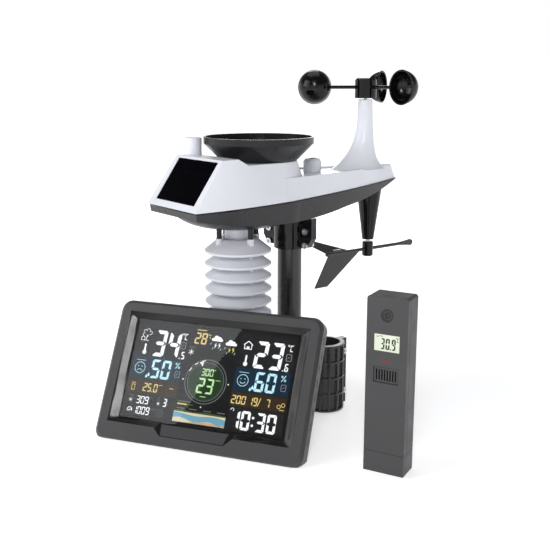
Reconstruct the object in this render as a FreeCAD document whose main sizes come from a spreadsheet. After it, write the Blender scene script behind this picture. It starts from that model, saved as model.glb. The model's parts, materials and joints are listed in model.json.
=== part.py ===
# Home weather station: outdoor sensor array on a pole, indoor colour console, remote thermometer.
# Millimetres, +Z up.  The origin is the middle of the mast clamp's bore; +X points to the array's tail.
import FreeCAD, Part
import math
import os
import re
import Sketcher
from FreeCAD import Placement, Rotation, Vector

doc = FreeCAD.newDocument("weather_station")
sheet = doc.addObject("Spreadsheet::Sheet", "Sizes")

SIZES = {
    # places of the units: the pole, the table top, the console and the remote
    "pole_y": 68, "table_z": -42.5, "wall": 2.5, "gap": 0.3, "slack": 0.05, "crown_flat": 0.8,
    "console_x": -193, "console_y": -16, "console_yaw": -56.7, "console_tilt": 29.7,
    "remote_x": -65.2, "remote_y": -168.7, "remote_yaw": -65.5,
    # array hull, measured from the pole's axis and up from the table
    "seam_front_z": 245, "seam_rise": 0.0342, "front_x": -162, "front_half": 51.5,
    "beam_x": -110, "beam_half": 59, "turret_x": -44.9, "turret_low_half": 59,
    "aft_x": 50, "aft_half": 40.5, "stern_x": 172, "stern_half": 4, "tail_x": 177,
    "face_top_x": -124.7, "roof_z": 297.5, "roof_half": 48.4, "roof_mid_half": 45.5,
    "turret_top_half": 41.5, "roof_end_x": -103, "seat_start_x": -91, "seat_z": 290.5,
    "deck_z": 274, "deck_floor_z": 272.2, "deck_start_half": 50, "deck_aft_half": 36,
    "deck_stern_x": 158, "deck_tip_x": 163,
    "keel_front_z": 237, "keel_mid_x": -50, "keel_mid_z": 224.3, "keel_aft_x": 60,
    "keel_aft_z": 232.5, "keel_rise_x": 125, "keel_rise_z": 243, "keel_lean": 4,
    "dish_x": -60, "dish_z": 246, "dish_length": 98, "dish_half": 55, "dish_depth": 33.4,
    # solar panel in the sloping face
    "panel_width": 80, "panel_height": 53, "panel_thick": 2.4, "panel_margin": 8.2,
    # light sensor and bubble level
    "light_x": -112, "light_y": 34, "light_radius": 10, "light_top_z": 317, "diffuser_radius": 7.5,
    "level_x": 34, "level_radius": 10.4, "level_top_z": 288.6, "vial_radius": 6.4,
    # rain collector
    "rim_radius": 63, "rim_top_z": 317.6, "rim_tall": 7.5, "funnel_foot_radius": 43.6,
    "funnel_wall": 2.2, "outlet_radius": 4, "outlet_z": 282, "filter_radius": 12,
    # tipping bucket
    "bucket_z": 262, "bucket_half": 26, "bucket_width": 18, "bucket_deep": 15,
    "bucket_lean": 14, "pivot_radius": 1.5, "cradle_z": 236, "cradle_foot_z": 216.8,
    # anemometer
    "rotor_x": 118.1, "tower_x": 108, "tower_top_z": 356.5, "tower_top_radius": 8.7,
    "tower_waist_z": 330, "tower_waist_radius": 9.9, "tower_foot_long": 38, "tower_foot_wide": 27,
    "shaft_radius": 2, "bearing_radius": 5, "bearing_tall": 4,
    "hub_radius": 13.5, "hub_low_z": 358.2, "hub_tall": 24, "cup_z": 371.4, "cup_arm": 63.5,
    "cup_radius": 20, "cup_wall": 1.4, "arm_radius": 2.1, "cup_first_angle": 28.3,
    # wind vane
    "vane_x": 127.8, "stem_low_z": 180, "stem_low_radius": 7.4, "stem_top_z": 252,
    "stem_top_radius": 17, "vane_hub_radius": 7, "vane_hub_low_z": 158, "vane_hub_tall": 18.8,
    "vane_z": 167, "vane_rod_radius": 2.1, "pointer_reach": 81, "tail_reach": 68,
    "spoon_long": 23, "spoon_half": 3.7, "spoon_thick": 2.8, "fin_thick": 1.8,
    # radiation shield
    "shield_x": -75, "plate_radius": 38.5, "plate_bore": 21, "dome_rim_z": 190.5,
    "plate_pitch": 14.8, "plate_count": 6, "plate_rise": 10.5, "plate_wall": 2, "plate_rim": 3,
    "dome_top_radius": 22, "dome_top_z": 204, "neck_radius": 15, "post_circle": 25.5,
    "post_radius": 2.2, "sleeve_radius": 3.1, "shield_floor_z": 88,
    # pole and its socket
    "pole_radius": 14.5, "pole_wall": 2, "pole_low_z": 8, "pole_top_z": 208,
    "socket_radius": 19, "socket_low_z": 184.5, "socket_top_z": 222, "ear_reach": 36,
    "ear_half": 5, "ear_cut": 7, "socket_screw_y": 27, "socket_screw_low_z": 189.5,
    "socket_screw_pitch": 16.5, "screw_head_radius": 3.7, "screw_head_tall": 2.2,
    "ear_turn": 15,
    "screw_radius": 2, "nut_radius": 4,
    # mast clamp and arm, about the mast's axis
    "mast_radius": 16.5, "clamp_half_tall": 40, "pad_thick": 1.5, "clamp_wall": 2.8,
    "rib_tall": 2.4, "rib_thick": 2, "flange_reach": 30, "flange_thick": 4,
    "clamp_screw_x": 25.5, "clamp_screw_z": 24.4, "arm_half_tall": 26, "arm_web": 6,
    "arm_flange": 15, "arm_flange_thick": 4,
    # inside the array
    "board_long": 84, "board_wide": 34, "board_thick": 1.6, "board_z": 258,
    "cell_radius": 7.2, "cell_long": 50, "cell_pitch": 15.5, "cell_x": -136, "cell_z": 246,
    "door_start_x": -136, "door_end_x": -106, "door_half": 27,
    # console, in the frame of its front face: across, inwards, up
    "console_width": 239, "console_height": 158, "console_depth": 24, "bezel_depth": 11,
    "console_round": 12, "console_edge": 3.4, "console_back_edge": 6,
    "side_border": 12.5, "side_slope": 11, "top_border": 12.5, "low_border": 20.5,
    "window_slope": 7, "glass_in": 5, "glass_thick": 1.6, "foot_tall": 0.8,
    "snooze_top_half": 54, "snooze_low_half": 37, "snooze_shift": -4, "snooze_deep": 8,
    "snooze_tall": 15.3,
    "key_wide": 16, "key_tall": 6, "key_long": 4.2, "key_z": 139, "key_pitch": 30,
    "stand_z": 92, "stand_out": 3.2, "stand_half": 45, "stand_thick": 4,
    "stand_open": 49.9, "stand_pin_radius": 2,
    "cover_x": 88, "cover_half_wide": 24, "cover_low_z": 52, "cover_tall": 60,
    "jack_radius": 2.8, "jack_x": -92, "jack_z": 60, "vent_count": 8, "vent_pitch": 15,
    # remote thermometer
    "remote_width": 42, "remote_height": 180, "remote_depth": 26, "remote_split": 7,
    "remote_wall": 2, "remote_round": 3, "remote_cover_tall": 22,
    "remote_lcd_wide": 26, "remote_lcd_tall": 17, "remote_lcd_z": 126, "eye_radius": 6.5,
    "eye_z": 162, "grille_wide": 26, "grille_tall": 16, "grille_z": 94, "grille_slots": 8,
    "hook_radius": 3, "hook_z": 170,
}
for row, (alias, size) in enumerate(SIZES.items(), start=1):
    sheet.set(f"A{row}", alias)
    sheet.set(f"B{row}", str(size))
    sheet.setAlias(f"B{row}", alias)
doc.recompute()

NODES = []
WORD = re.compile(r"[a-z][a-z_0-9]*")


def bound(text):
    """The expression with each size's name pointed at its cell."""
    return WORD.sub(lambda m: "Sizes." + m[0] if m[0] in SIZES else m[0], str(text))


def number(text):
    """What an expression comes to now, as a plain number."""
    result = sheet.evalExpression(bound(text))
    return float(getattr(result, "Value", result))


def place(item, at=("0", "0", "0"), turn=None):
    """Put an item at three bound distances, turned by a rotation."""
    item.Placement = Placement(Vector(*[number(c) for c in at]), turn or Rotation())
    for axis, text in zip("xyz", at):
        item.setExpression("Placement.Base." + axis, bound(text))
    return item


def solid(kind, name, at=("0", "0", "0"), turn=None, **sizes):
    """A Part primitive with every size bound to the sheet."""
    item = doc.addObject("Part::" + kind, name)
    for prop, text in sizes.items():
        item.setExpression(prop, bound(text))
    return place(item, at, turn)


def block(name, across, inwards, up):
    """A box between two bound limits on each axis."""
    low = [span[0] for span in (across, inwards, up)]
    size = [f"({span[1]}) - ({span[0]})" for span in (across, inwards, up)]
    return solid("Box", name, low, Length=size[0], Width=size[1], Height=size[2])


AXIS_TURN = {
    "x": Rotation(Vector(0, 1, 0), 90),
    "y": Rotation(Vector(1, 0, 0), -90),
    "z": Rotation(),
}


def rod(name, axis, start, length, radius):
    """A cylinder from a bound start point along an axis."""
    return solid("Cylinder", name, start, AXIS_TURN[axis], Radius=radius, Height=length)


def fuse(name, *items):
    """Several solids made one."""
    item = doc.addObject("Part::MultiFuse", name)
    item.Shapes = list(items)
    return item


def common(name, *items):
    """The space that all the solids share."""
    item = doc.addObject("Part::MultiCommon", name)
    item.Shapes = list(items)
    return item


def cut(name, base, *tools):
    """A solid with one or more tools taken out of it."""
    item = doc.addObject("Part::Cut", name)
    item.Base = base
    item.Tool = tools[0] if len(tools) == 1 else fuse(name + "_tools", *tools)
    return item


def group(name, *items):
    """Separate solids kept together, as a row of like fasteners is."""
    item = doc.addObject("Part::Compound", name)
    item.Links = list(items)
    return item


def draw(sketch, corners):
    """A closed outline.  A corner is (x, y), or (x, y, mid x, mid y) where an arc leads to it."""
    points = [Vector(number(c[0]), number(c[1]), 0) for c in corners]
    ends = []
    for k, corner in enumerate(corners):
        first, last = points[k - 1], points[k]
        if len(corner) == 2:
            sketch.addGeometry(Part.LineSegment(first, last), False)
        else:
            middle = Vector(number(corner[2]), number(corner[3]), 0)
            sketch.addGeometry(Part.Arc(first, middle, last), False)
        swapped = sketch.getPoint(k, 1).distanceToPoint(first) > 1e-6
        ends.append((2, 1) if swapped else (1, 2))
    for k, corner in enumerate(corners):
        follower = (k + 1) % len(corners)
        sketch.addConstraint(Sketcher.Constraint("Coincident", k, ends[k][1], follower, ends[follower][0]))
        hold(sketch, k, ends[k][1], corner[:2])
        if len(corner) == 4:
            middle = Vector(number(corner[2]), number(corner[3]), 0)
            spot = sketch.addGeometry(Part.Point(middle), True)
            sketch.addConstraint(Sketcher.Constraint("PointOnObject", spot, 1, k))
            hold(sketch, spot, 1, corner[2:])
    return sketch


def hold(sketch, shape, end, pair):
    """Two driven distances from the origin hold a point of a sketch."""
    for kind, text in zip(("DistanceX", "DistanceY"), pair):
        index = sketch.addConstraint(Sketcher.Constraint(kind, -1, 1, shape, end, number(text)))
        sketch.setExpression(f"Constraints[{index}]", bound(text))


def section(name, corners, height):
    """A level outline at a bound height, for a loft."""
    sketch = draw(doc.addObject("Sketcher::SketchObject", name), corners)
    sketch.setExpression("Placement.Base.z", bound(height))
    return sketch


def body_sketch(body, role, name, corners):
    """A sketch on one of a body's own origin planes."""
    sketch = body.newObject("Sketcher::SketchObject", name)
    plane = next(f for f in body.Origin.OriginFeatures if f.Role == role)
    sketch.AttachmentSupport = [(plane, "")]
    sketch.MapMode = "FlatFace"
    return draw(sketch, corners)


def turned(name, corners):
    """A body of revolution about Z; corners are (radius, height)."""
    body = doc.addObject("PartDesign::Body", name)
    sketch = body_sketch(body, "XZ_Plane", name + "_profile", corners)
    spin = body.newObject("PartDesign::Revolution", name + "_turn")
    spin.Profile = sketch
    spin.ReferenceAxis = (sketch, ["V_Axis"])
    spin.Angle = 360
    return body


def padded(name, role, corners, length, start="0", reverse=False):
    """A body padded from an outline, from a bound start for a bound length."""
    body = doc.addObject("PartDesign::Body", name)
    sketch = body_sketch(body, role, name + "_outline", corners)
    sketch.setExpression("AttachmentOffset.Base.z", bound(start))
    pad = body.newObject("PartDesign::Pad", name + "_pad")
    pad.Profile = sketch
    pad.Reversed = reverse
    pad.setExpression("Length", bound(length))
    return body


def slab(name, corners, low, high):
    """A side outline (along, up) made solid between two bound distances across."""
    return padded(name, "XZ_Plane", corners, f"({high}) - ({low})", f"-({high})")


def loft(name, *sections):
    """A ruled solid through level outlines."""
    item = doc.addObject("Part::Loft", name)
    item.Sections = list(sections)
    item.Solid = True
    item.Ruled = True
    return item


# Each unit's own frame: its place, and its rotation about the upright and then its tilt.
def unit_turn(yaw, tilt="0"):
    """Stand a unit drawn on its back upright, lean it back, and turn it about the upright."""
    upright = Rotation(Vector(1, 0, 0), 90 - number(tilt))
    return Rotation(Vector(0, 0, 1), number(yaw)) * upright


UNITS = {
    "clamp": (("0", "0", "0"), Rotation()),
    "array": (("0", "pole_y", "table_z"), Rotation()),
    "rotor": (("rotor_x", "pole_y", "table_z + cup_z"), Rotation()),
    "vane": (("vane_x", "pole_y", "table_z + vane_z"), Rotation()),
    "shield": (("shield_x", "pole_y", "table_z"), Rotation()),
    "turret": (("turret_x", "pole_y", "table_z"), Rotation()),
    "console": (("console_x", "console_y", "table_z"), unit_turn("console_yaw", "console_tilt")),
    "remote": (("remote_x", "remote_y", "table_z"), unit_turn("remote_yaw")),
}


def sub_part(label, unit, item, turn=None):
    """Name a finished sub-part and set it down in its unit."""
    if item.ExpressionEngine and item.TypeId != "Part::Loft":
        moved = any("Placement" in path for path, _ in item.ExpressionEngine)
        if moved:
            item = group(label + "_group", item)
    at, unit_rotation = UNITS[unit]
    place(item, at, unit_rotation * turn if turn else unit_rotation)
    item.Label = label
    NODES.append(item)
    return item


# ---------------------------------------------------------------- array hull
def front_outline(front, half, mid_x, mid_half, rear_half):
    """A blunt front, bowed sides and a round rear about the rain collector's axis."""
    return [
        (front, half, mid_x, mid_half),
        (front, f"-({half})"),
        ("turret_x", f"-({rear_half})", mid_x, f"-({mid_half})"),
        ("turret_x", rear_half, f"turret_x + {rear_half}", "0"),
    ]


def tail_outline(start_half, aft_half, stern_x, tip_x, inset):
    """The sides run aft from the collector and close in a small round stern."""
    stern_half = f"stern_half - {inset} * 0.4"
    return [
        ("turret_x", f"{start_half} - {inset}", "aft_x", f"{aft_half} - {inset}"),
        ("turret_x", f"-({start_half} - {inset})"),
        (f"{stern_x} - {inset} * 2", f"-({stern_half})", "aft_x", f"-({aft_half} - {inset})"),
        (f"{stern_x} - {inset} * 2", stern_half, f"{tip_x} - {inset} * 2", "0"),
    ]


def upper_block(tag, inset):
    """The white upper body as one solid, drawn in by a wall thickness."""
    low = section(f"fore_low_{tag}", front_outline(
        f"front_x + {inset}", f"front_half - {inset}", "beam_x", f"beam_half - {inset}",
        f"turret_low_half - {inset}"), "seam_front_z")
    high = section(f"fore_high_{tag}", front_outline(
        f"face_top_x - 6 + {inset}", f"roof_half - {inset}", "beam_x", f"roof_mid_half - {inset}",
        f"turret_top_half - {inset}"), "roof_z")
    profile = slab(f"fore_side_{tag}", [
        (f"front_x + {inset} * 1.2", "seam_front_z"),
        (f"face_top_x + {inset} * 1.2", f"roof_z - {inset}"),
        (f"roof_end_x - {inset} * 0.5", f"roof_z - {inset}"),
        (f"seat_start_x - {inset} * 0.5", f"seat_z - {inset}"),
        ("turret_x + 70", f"seat_z - {inset}"),
        ("turret_x + 70", "seam_front_z"),
    ], "-70", "70")
    fore = common(f"fore_{tag}", loft(f"fore_loft_{tag}", low, high), profile)
    deck_low = section(f"aft_low_{tag}", tail_outline(
        "turret_low_half", "aft_half", "stern_x", "tail_x", inset), "seam_front_z")
    deck_high = section(f"aft_high_{tag}", tail_outline(
        "deck_start_half", "deck_aft_half", "deck_stern_x", "deck_tip_x", inset), f"deck_z - {inset}")
    aft = loft(f"aft_{tag}", deck_low, deck_high)
    if tag == "skin":
        floor_low = section("deck_floor_low", tail_outline(
            "deck_start_half", "deck_aft_half", "deck_stern_x", "deck_tip_x", "2"), "deck_floor_z")
        floor_high = section("deck_floor_high", tail_outline(
            "deck_start_half", "deck_aft_half", "deck_stern_x", "deck_tip_x", "2"), "deck_z + 1")
        aft = cut("aft_with_well", aft, loft("deck_well", floor_low, floor_high))
    return fuse(f"upper_{tag}", fore, aft)


SEAM_REACH = "seam_rise * (tail_x + 20 - front_x)"


def below_seam(name, shift):
    """All the space under the seam's rising plane."""
    return slab(name, [
        ("front_x - 20", f"seam_front_z - seam_rise * 20 + {shift}"),
        ("tail_x + 20", f"seam_front_z + {SEAM_REACH} + {shift}"),
        ("tail_x + 20", "150"),
        ("front_x - 20", "150"),
    ], "-80", "80")


def lower_block(tag, inset):
    """The dark lower body as one solid: a band with a sheer lower edge, and a shallow dish."""
    band = slab(f"band_side_{tag}", [
        ("front_x - 1", "seam_front_z + 14"),
        ("front_x - 1", f"keel_front_z + {inset}"),
        ("keel_aft_x", f"keel_aft_z + {inset}", "keel_mid_x", f"keel_mid_z + {inset}"),
        ("tail_x + 3", f"seam_front_z + 14 + {inset}", "keel_rise_x", f"keel_rise_z + {inset}"),
    ], "-70", "70")
    fore_top = section(f"hull_fore_top_{tag}", front_outline(
        f"front_x + {inset}", f"front_half - {inset}", "beam_x", f"beam_half - {inset}",
        f"turret_low_half - {inset}"), "seam_front_z + 14")
    fore_low = section(f"hull_fore_low_{tag}", front_outline(
        f"front_x + keel_lean + {inset}", f"front_half - keel_lean - {inset}", "beam_x",
        f"beam_half - keel_lean - {inset}", f"turret_low_half - keel_lean - {inset}"), "keel_mid_z - 2")
    aft_top = section(f"hull_aft_top_{tag}", tail_outline(
        "turret_low_half", "aft_half", "stern_x", "tail_x", inset), "seam_front_z + 14")
    aft_low = section(f"hull_aft_low_{tag}", tail_outline(
        "turret_low_half - keel_lean", "aft_half - keel_lean", "stern_x - 4", "tail_x - 4",
        inset), "keel_mid_z - 2")
    whole = fuse(f"hull_lofts_{tag}", loft(f"hull_fore_{tag}", fore_top, fore_low),
                 loft(f"hull_aft_{tag}", aft_top, aft_low))
    banded = common(f"band_{tag}", whole, band)
    dish = solid("Ellipsoid", f"dish_{tag}", ("dish_x", "0", "dish_z"), None,
                 Radius1=f"dish_depth - {inset}", Radius2=f"dish_length - {inset}",
                 Radius3=f"dish_half - {inset}")
    return fuse(f"lower_{tag}", banded, dish), dish


FACE_TILT = "atan((roof_z - seam_front_z) / (face_top_x - front_x))"


def panel_box(name, spare, depth, lift="0"):
    """A box lying in the sloping face, with spare room all round the panel."""
    start = f"(panel_margin - {spare})"
    sink = f"({depth} - {lift})"
    at = (f"front_x + {start} * cos({FACE_TILT}) + {sink} * sin({FACE_TILT})",
          f"-panel_width / 2 - {spare}",
          f"seam_front_z + {start} * sin({FACE_TILT}) - {sink} * cos({FACE_TILT})")
    turn = Rotation(Vector(0, 1, 0), -number(FACE_TILT))
    return solid("Box", name, at, turn, Length=f"panel_height + 2 * {spare}",
                 Width=f"panel_width + 2 * {spare}", Height=depth)


def build_hull():
    """Both shells of the hull with the openings that its fittings need."""
    skin = upper_block("skin", "0")
    shell = cut("upper_shell", skin, upper_block("core", "wall"))
    shell = fuse("upper_with_tray", shell, common(
        "panel_tray_in_hull", panel_box("panel_tray", "3", "panel_thick + wall"), skin))
    skirt_gap = slab("under_seam", [
        ("front_x - 20", "seam_front_z - seam_rise * 20"),
        ("tail_x + 20", f"seam_front_z + {SEAM_REACH}"),
        ("tail_x + 20", "200"), ("front_x - 20", "200")], "-80", "80")
    upper = cut("upper_open", shell, skirt_gap,
                panel_box("panel_recess", "0.3", "panel_thick + 0.3"),
                rod("neck_hole", "z", ("turret_x", "0", "seat_z - 8"), "12", "outlet_radius + 5"),
                rod("tower_hole", "z", ("rotor_x", "0", "deck_floor_z - 8"), "12", "bearing_radius"))
    sub_part("upper_housing", "array", upper)

    lower_skin, dish = lower_block("skin", "0")
    lower_core, _ = lower_block("core", "wall")
    hollow = cut("lower_shell", common("lower_trimmed", lower_skin, below_seam("lower_space", "-0.1")),
                 lower_core)
    door_hole = block("door_hole", ("door_start_x", "door_end_x"), ("-door_half", "door_half"),
                      ("200", "240"))
    door_room = block("door_room", ("door_start_x + gap", "door_end_x - gap"),
                      ("-door_half + gap", "door_half - gap"), ("200", "240"))
    bore = rod("stem_bore", "z", ("vane_x", "0", "200"), "80", "bearing_radius")
    grooves = [rod(f"corner_groove_{name}", "z", ("front_x + 1.6", f"{side} * (front_half - 0.9)", "220"),
                   "30", "1") for name, side in (("near", -1), ("far", 1))]
    sub_part("lower_housing", "array", cut("lower_open", hollow, door_hole, bore, *grooves))
    sub_part("array_battery_door", "array", common("door_plate", hollow, door_room))
    return lower_skin, dish, skin


hull_skin, hull_dish, hull_roof = build_hull()
sub_part("solar_panel", "array", panel_box("panel_glass", "0", "panel_thick", "-0.3"))


# ------------------------------------------------- fittings on the array's roof and deck
def roof_fittings():
    """Light sensor and bubble level."""
    post = cut("light_post_solid",
               rod("light_tube", "z", ("light_x", "light_y", "roof_z"), "light_top_z - roof_z", "light_radius"),
               rod("light_socket", "z", ("light_x", "light_y", "light_top_z - 3"), "4", "diffuser_radius"))
    sub_part("light_sensor_post", "array", post)
    sub_part("light_sensor_diffuser", "array", rod(
        "diffuser_disc", "z", ("light_x", "light_y", "light_top_z - 3"), "3.3", "diffuser_radius"))
    ring = turned("level_ring", [
        ("vial_radius", "deck_floor_z"), ("level_radius", "deck_floor_z"),
        ("level_radius + 0.4", "level_top_z - 6"),
        ("vial_radius + 1", "level_top_z", "level_radius - 1", "level_top_z - 1.6"),
        ("vial_radius", "level_top_z"),
    ])
    place(ring, ("level_x", "0", "0"))
    sub_part("bubble_level_ring", "array", ring)
    vial = turned("level_vial", [
        ("0", "deck_floor_z"), ("vial_radius", "deck_floor_z"), ("vial_radius", "level_top_z - 0.2"),
        ("crown_flat", "level_top_z + 1.4", "vial_radius * 0.6", "level_top_z + 0.8"),
        ("0", "level_top_z + 1.4"),
    ])
    place(vial, ("level_x", "0", "0"))
    sub_part("bubble_level_vial", "array", vial)


roof_fittings()


# ---------------------------------------------------------------- anemometer
def oval(name, centre_x, height, half_long, half_wide):
    """A level ellipse, one section of the tower."""
    return solid("Ellipse", name, (centre_x, "0", height), None,
                 MajorRadius=half_long, MinorRadius=half_wide)


def anemometer():
    """Flared tower, bearings, and the rotor with its shaft, hub and three cups."""
    flare = doc.addObject("Part::Loft", "tower_flare")
    flare.Sections = [
        oval("tower_foot", "tower_x", "deck_floor_z", "tower_foot_long", "tower_foot_wide"),
        oval("tower_ankle", "(tower_x * 2 + rotor_x) / 3", "deck_floor_z + 12",
             "tower_foot_long * 0.62", "tower_foot_wide * 0.68"),
        oval("tower_calf", "(tower_x + rotor_x * 3) / 4", "deck_floor_z + 30",
             "tower_waist_radius * 1.42", "tower_waist_radius * 1.36"),
        oval("tower_waist", "rotor_x", "tower_waist_z", "tower_waist_radius + 0.01", "tower_waist_radius"),
        oval("tower_neck", "rotor_x", "tower_top_z", "tower_top_radius + 0.01", "tower_top_radius"),
    ]
    flare.Solid = True
    flare.Ruled = False
    tube = rod("tower_bore", "z", ("rotor_x", "0", "deck_floor_z - 1"), "tower_top_z - deck_floor_z + 2",
               "bearing_radius")
    sub_part("anemometer_tower", "array", cut("tower_tube", flare, tube, hull_roof))

    rings = []
    for name, centre, height in (
            ("upper_rotor", "rotor_x", "tower_top_z - bearing_tall - 1"),
            ("lower_rotor", "rotor_x", "tower_waist_z - 8"),
            ("upper_vane", "vane_x", "stem_low_z + 24"),
            ("lower_vane", "vane_x", "stem_low_z + 1")):
        rings.append(cut(f"{name}_bearing",
                         rod(f"{name}_race", "z", (centre, "0", height), "bearing_tall", "bearing_radius"),
                         rod(f"{name}_bore", "z", (centre, "0", f"{height} - 1"), "bearing_tall + 2",
                             "shaft_radius + slack")))
    sub_part("shaft_bearings", "array", group("bearing_set", *rings))

    low = "hub_low_z - cup_z"
    sub_part("cup_rotor_shaft", "rotor", rod(
        "rotor_shaft", "z", ("0", "0", "tower_waist_z - 12 - cup_z"), "hub_low_z + 14 - tower_waist_z + 12",
        "shaft_radius"))
    hub = turned("rotor_hub", [
        ("shaft_radius", low), ("hub_radius", low), ("hub_radius", f"{low} + hub_tall - 2"),
        ("hub_radius - 2", f"{low} + hub_tall"), ("0", f"{low} + hub_tall"), ("0", f"{low} + 14"),
        ("shaft_radius", f"{low} + 14"),
    ])
    sub_part("cup_rotor_hub", "rotor", hub)
    face_out = Rotation(Vector(1, 0, 0), -90)
    for count in range(3):
        tag = f"cup_{count + 1}"
        bowl = cut(f"{tag}_bowl",
                   solid("Sphere", f"{tag}_outer", ("cup_arm", "0", "0"), face_out,
                         Radius="cup_radius", Angle1="0"),
                   solid("Sphere", f"{tag}_inner", ("cup_arm", "0", "0"), None,
                         Radius="cup_radius - cup_wall"))
        bead = solid("Torus", f"{tag}_bead", ("cup_arm", "0", "0"), face_out,
                     Radius1="cup_radius - 0.5", Radius2="1.1")
        arm = rod(f"{tag}_arm", "x", ("hub_radius", "0", "0"), "cup_arm - cup_radius - hub_radius + 1",
                  "arm_radius")
        angle = number("cup_first_angle") + 120 * count
        sub_part(f"wind_cup_{count + 1}", "rotor", fuse(f"{tag}_whole", bowl, bead, arm),
                 Rotation(Vector(0, 0, 1), angle))


anemometer()


# ---------------------------------------------------------------- wind vane
def fin(name, corners, angle):
    """A thin swept fin below the rod, then swung about the rod's line."""
    plate = padded(name, "XZ_Plane", corners, "fin_thick", "-fin_thick / 2")
    return place(plate, ("0", "0", "0"), Rotation(Vector(1, 0, 0), angle))


def wind_vane():
    """Fixed stem under the hull; shaft, hub, pointer and twin-fin tail turn together."""
    cone = solid("Cone", "stem_cone", ("vane_x", "0", "stem_low_z"), None, Radius1="stem_low_radius",
                 Radius2="stem_top_radius", Height="stem_top_z - stem_low_z")
    bore = rod("stem_hole", "z", ("vane_x", "0", "stem_low_z - 1"), "80", "bearing_radius")
    sub_part("vane_stem", "array", cut("stem_solid", cone, bore, hull_skin))
    low = "vane_hub_low_z - vane_z"
    sub_part("vane_shaft", "vane", rod(
        "vane_pin", "z", ("0", "0", "vane_hub_low_z + 6 - vane_z"), "stem_low_z + 30 - vane_hub_low_z - 6",
        "shaft_radius"))
    hub = turned("vane_boss", [
        ("0", low), ("vane_hub_radius - 1", low), ("vane_hub_radius", f"{low} + 1"),
        ("vane_hub_radius", f"{low} + vane_hub_tall - 1"),
        ("vane_hub_radius - 1", f"{low} + vane_hub_tall"),
        ("shaft_radius", f"{low} + vane_hub_tall"), ("shaft_radius", f"{low} + 6"), ("0", f"{low} + 6"),
    ])
    sub_part("vane_hub", "vane", hub)
    fore = rod("pointer_rod", "x", ("vane_hub_radius - 0.4", "0", "0"),
               "pointer_reach - spoon_long - vane_hub_radius + 2", "vane_rod_radius")
    spoon = padded("pointer_spoon", "XZ_Plane", [
        ("pointer_reach - spoon_long", "spoon_half / 2"),
        ("pointer_reach - spoon_long", "-spoon_half / 2"),
        ("pointer_reach - 6", "-spoon_half"),
        ("pointer_reach - 6", "spoon_half", "pointer_reach", "0"),
    ], "spoon_thick", "-spoon_thick / 2")
    sub_part("vane_pointer", "vane", cut(
        "pointer_trimmed", fuse("pointer_whole", fore, spoon),
        rod("pointer_seat", "z", ("0", "0", low), "vane_hub_tall", "vane_hub_radius")))
    spine = rod("tail_rod", "x", ("-tail_reach", "0", "0"), "tail_reach - vane_hub_radius + 0.4",
                "vane_rod_radius")
    nub = solid("Sphere", "tail_nub", ("-tail_reach", "0", "0"), None, Radius="vane_rod_radius + 0.6")
    near_fin = fin("near_fin", [("-12.8", "0"), ("-64.8", "0"), ("-82.8", "-43"), ("-63", "-43")], 8)
    far_fin = fin("far_fin", [("-30", "0"), ("-66", "0"), ("-80", "-31"), ("-68", "-33")], 112)
    root = padded("fin_root", "XZ_Plane", [
        ("-36", "0"), ("-64", "0"), ("-58", "4.6"), ("-46", "4.6")], "3", "-1.5")
    sub_part("vane_tail", "vane", cut(
        "tail_trimmed", fuse("tail_whole", spine, nub, near_fin, far_fin, root),
        rod("tail_seat", "z", ("0", "0", low), "vane_hub_tall", "vane_hub_radius")))


wind_vane()


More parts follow.
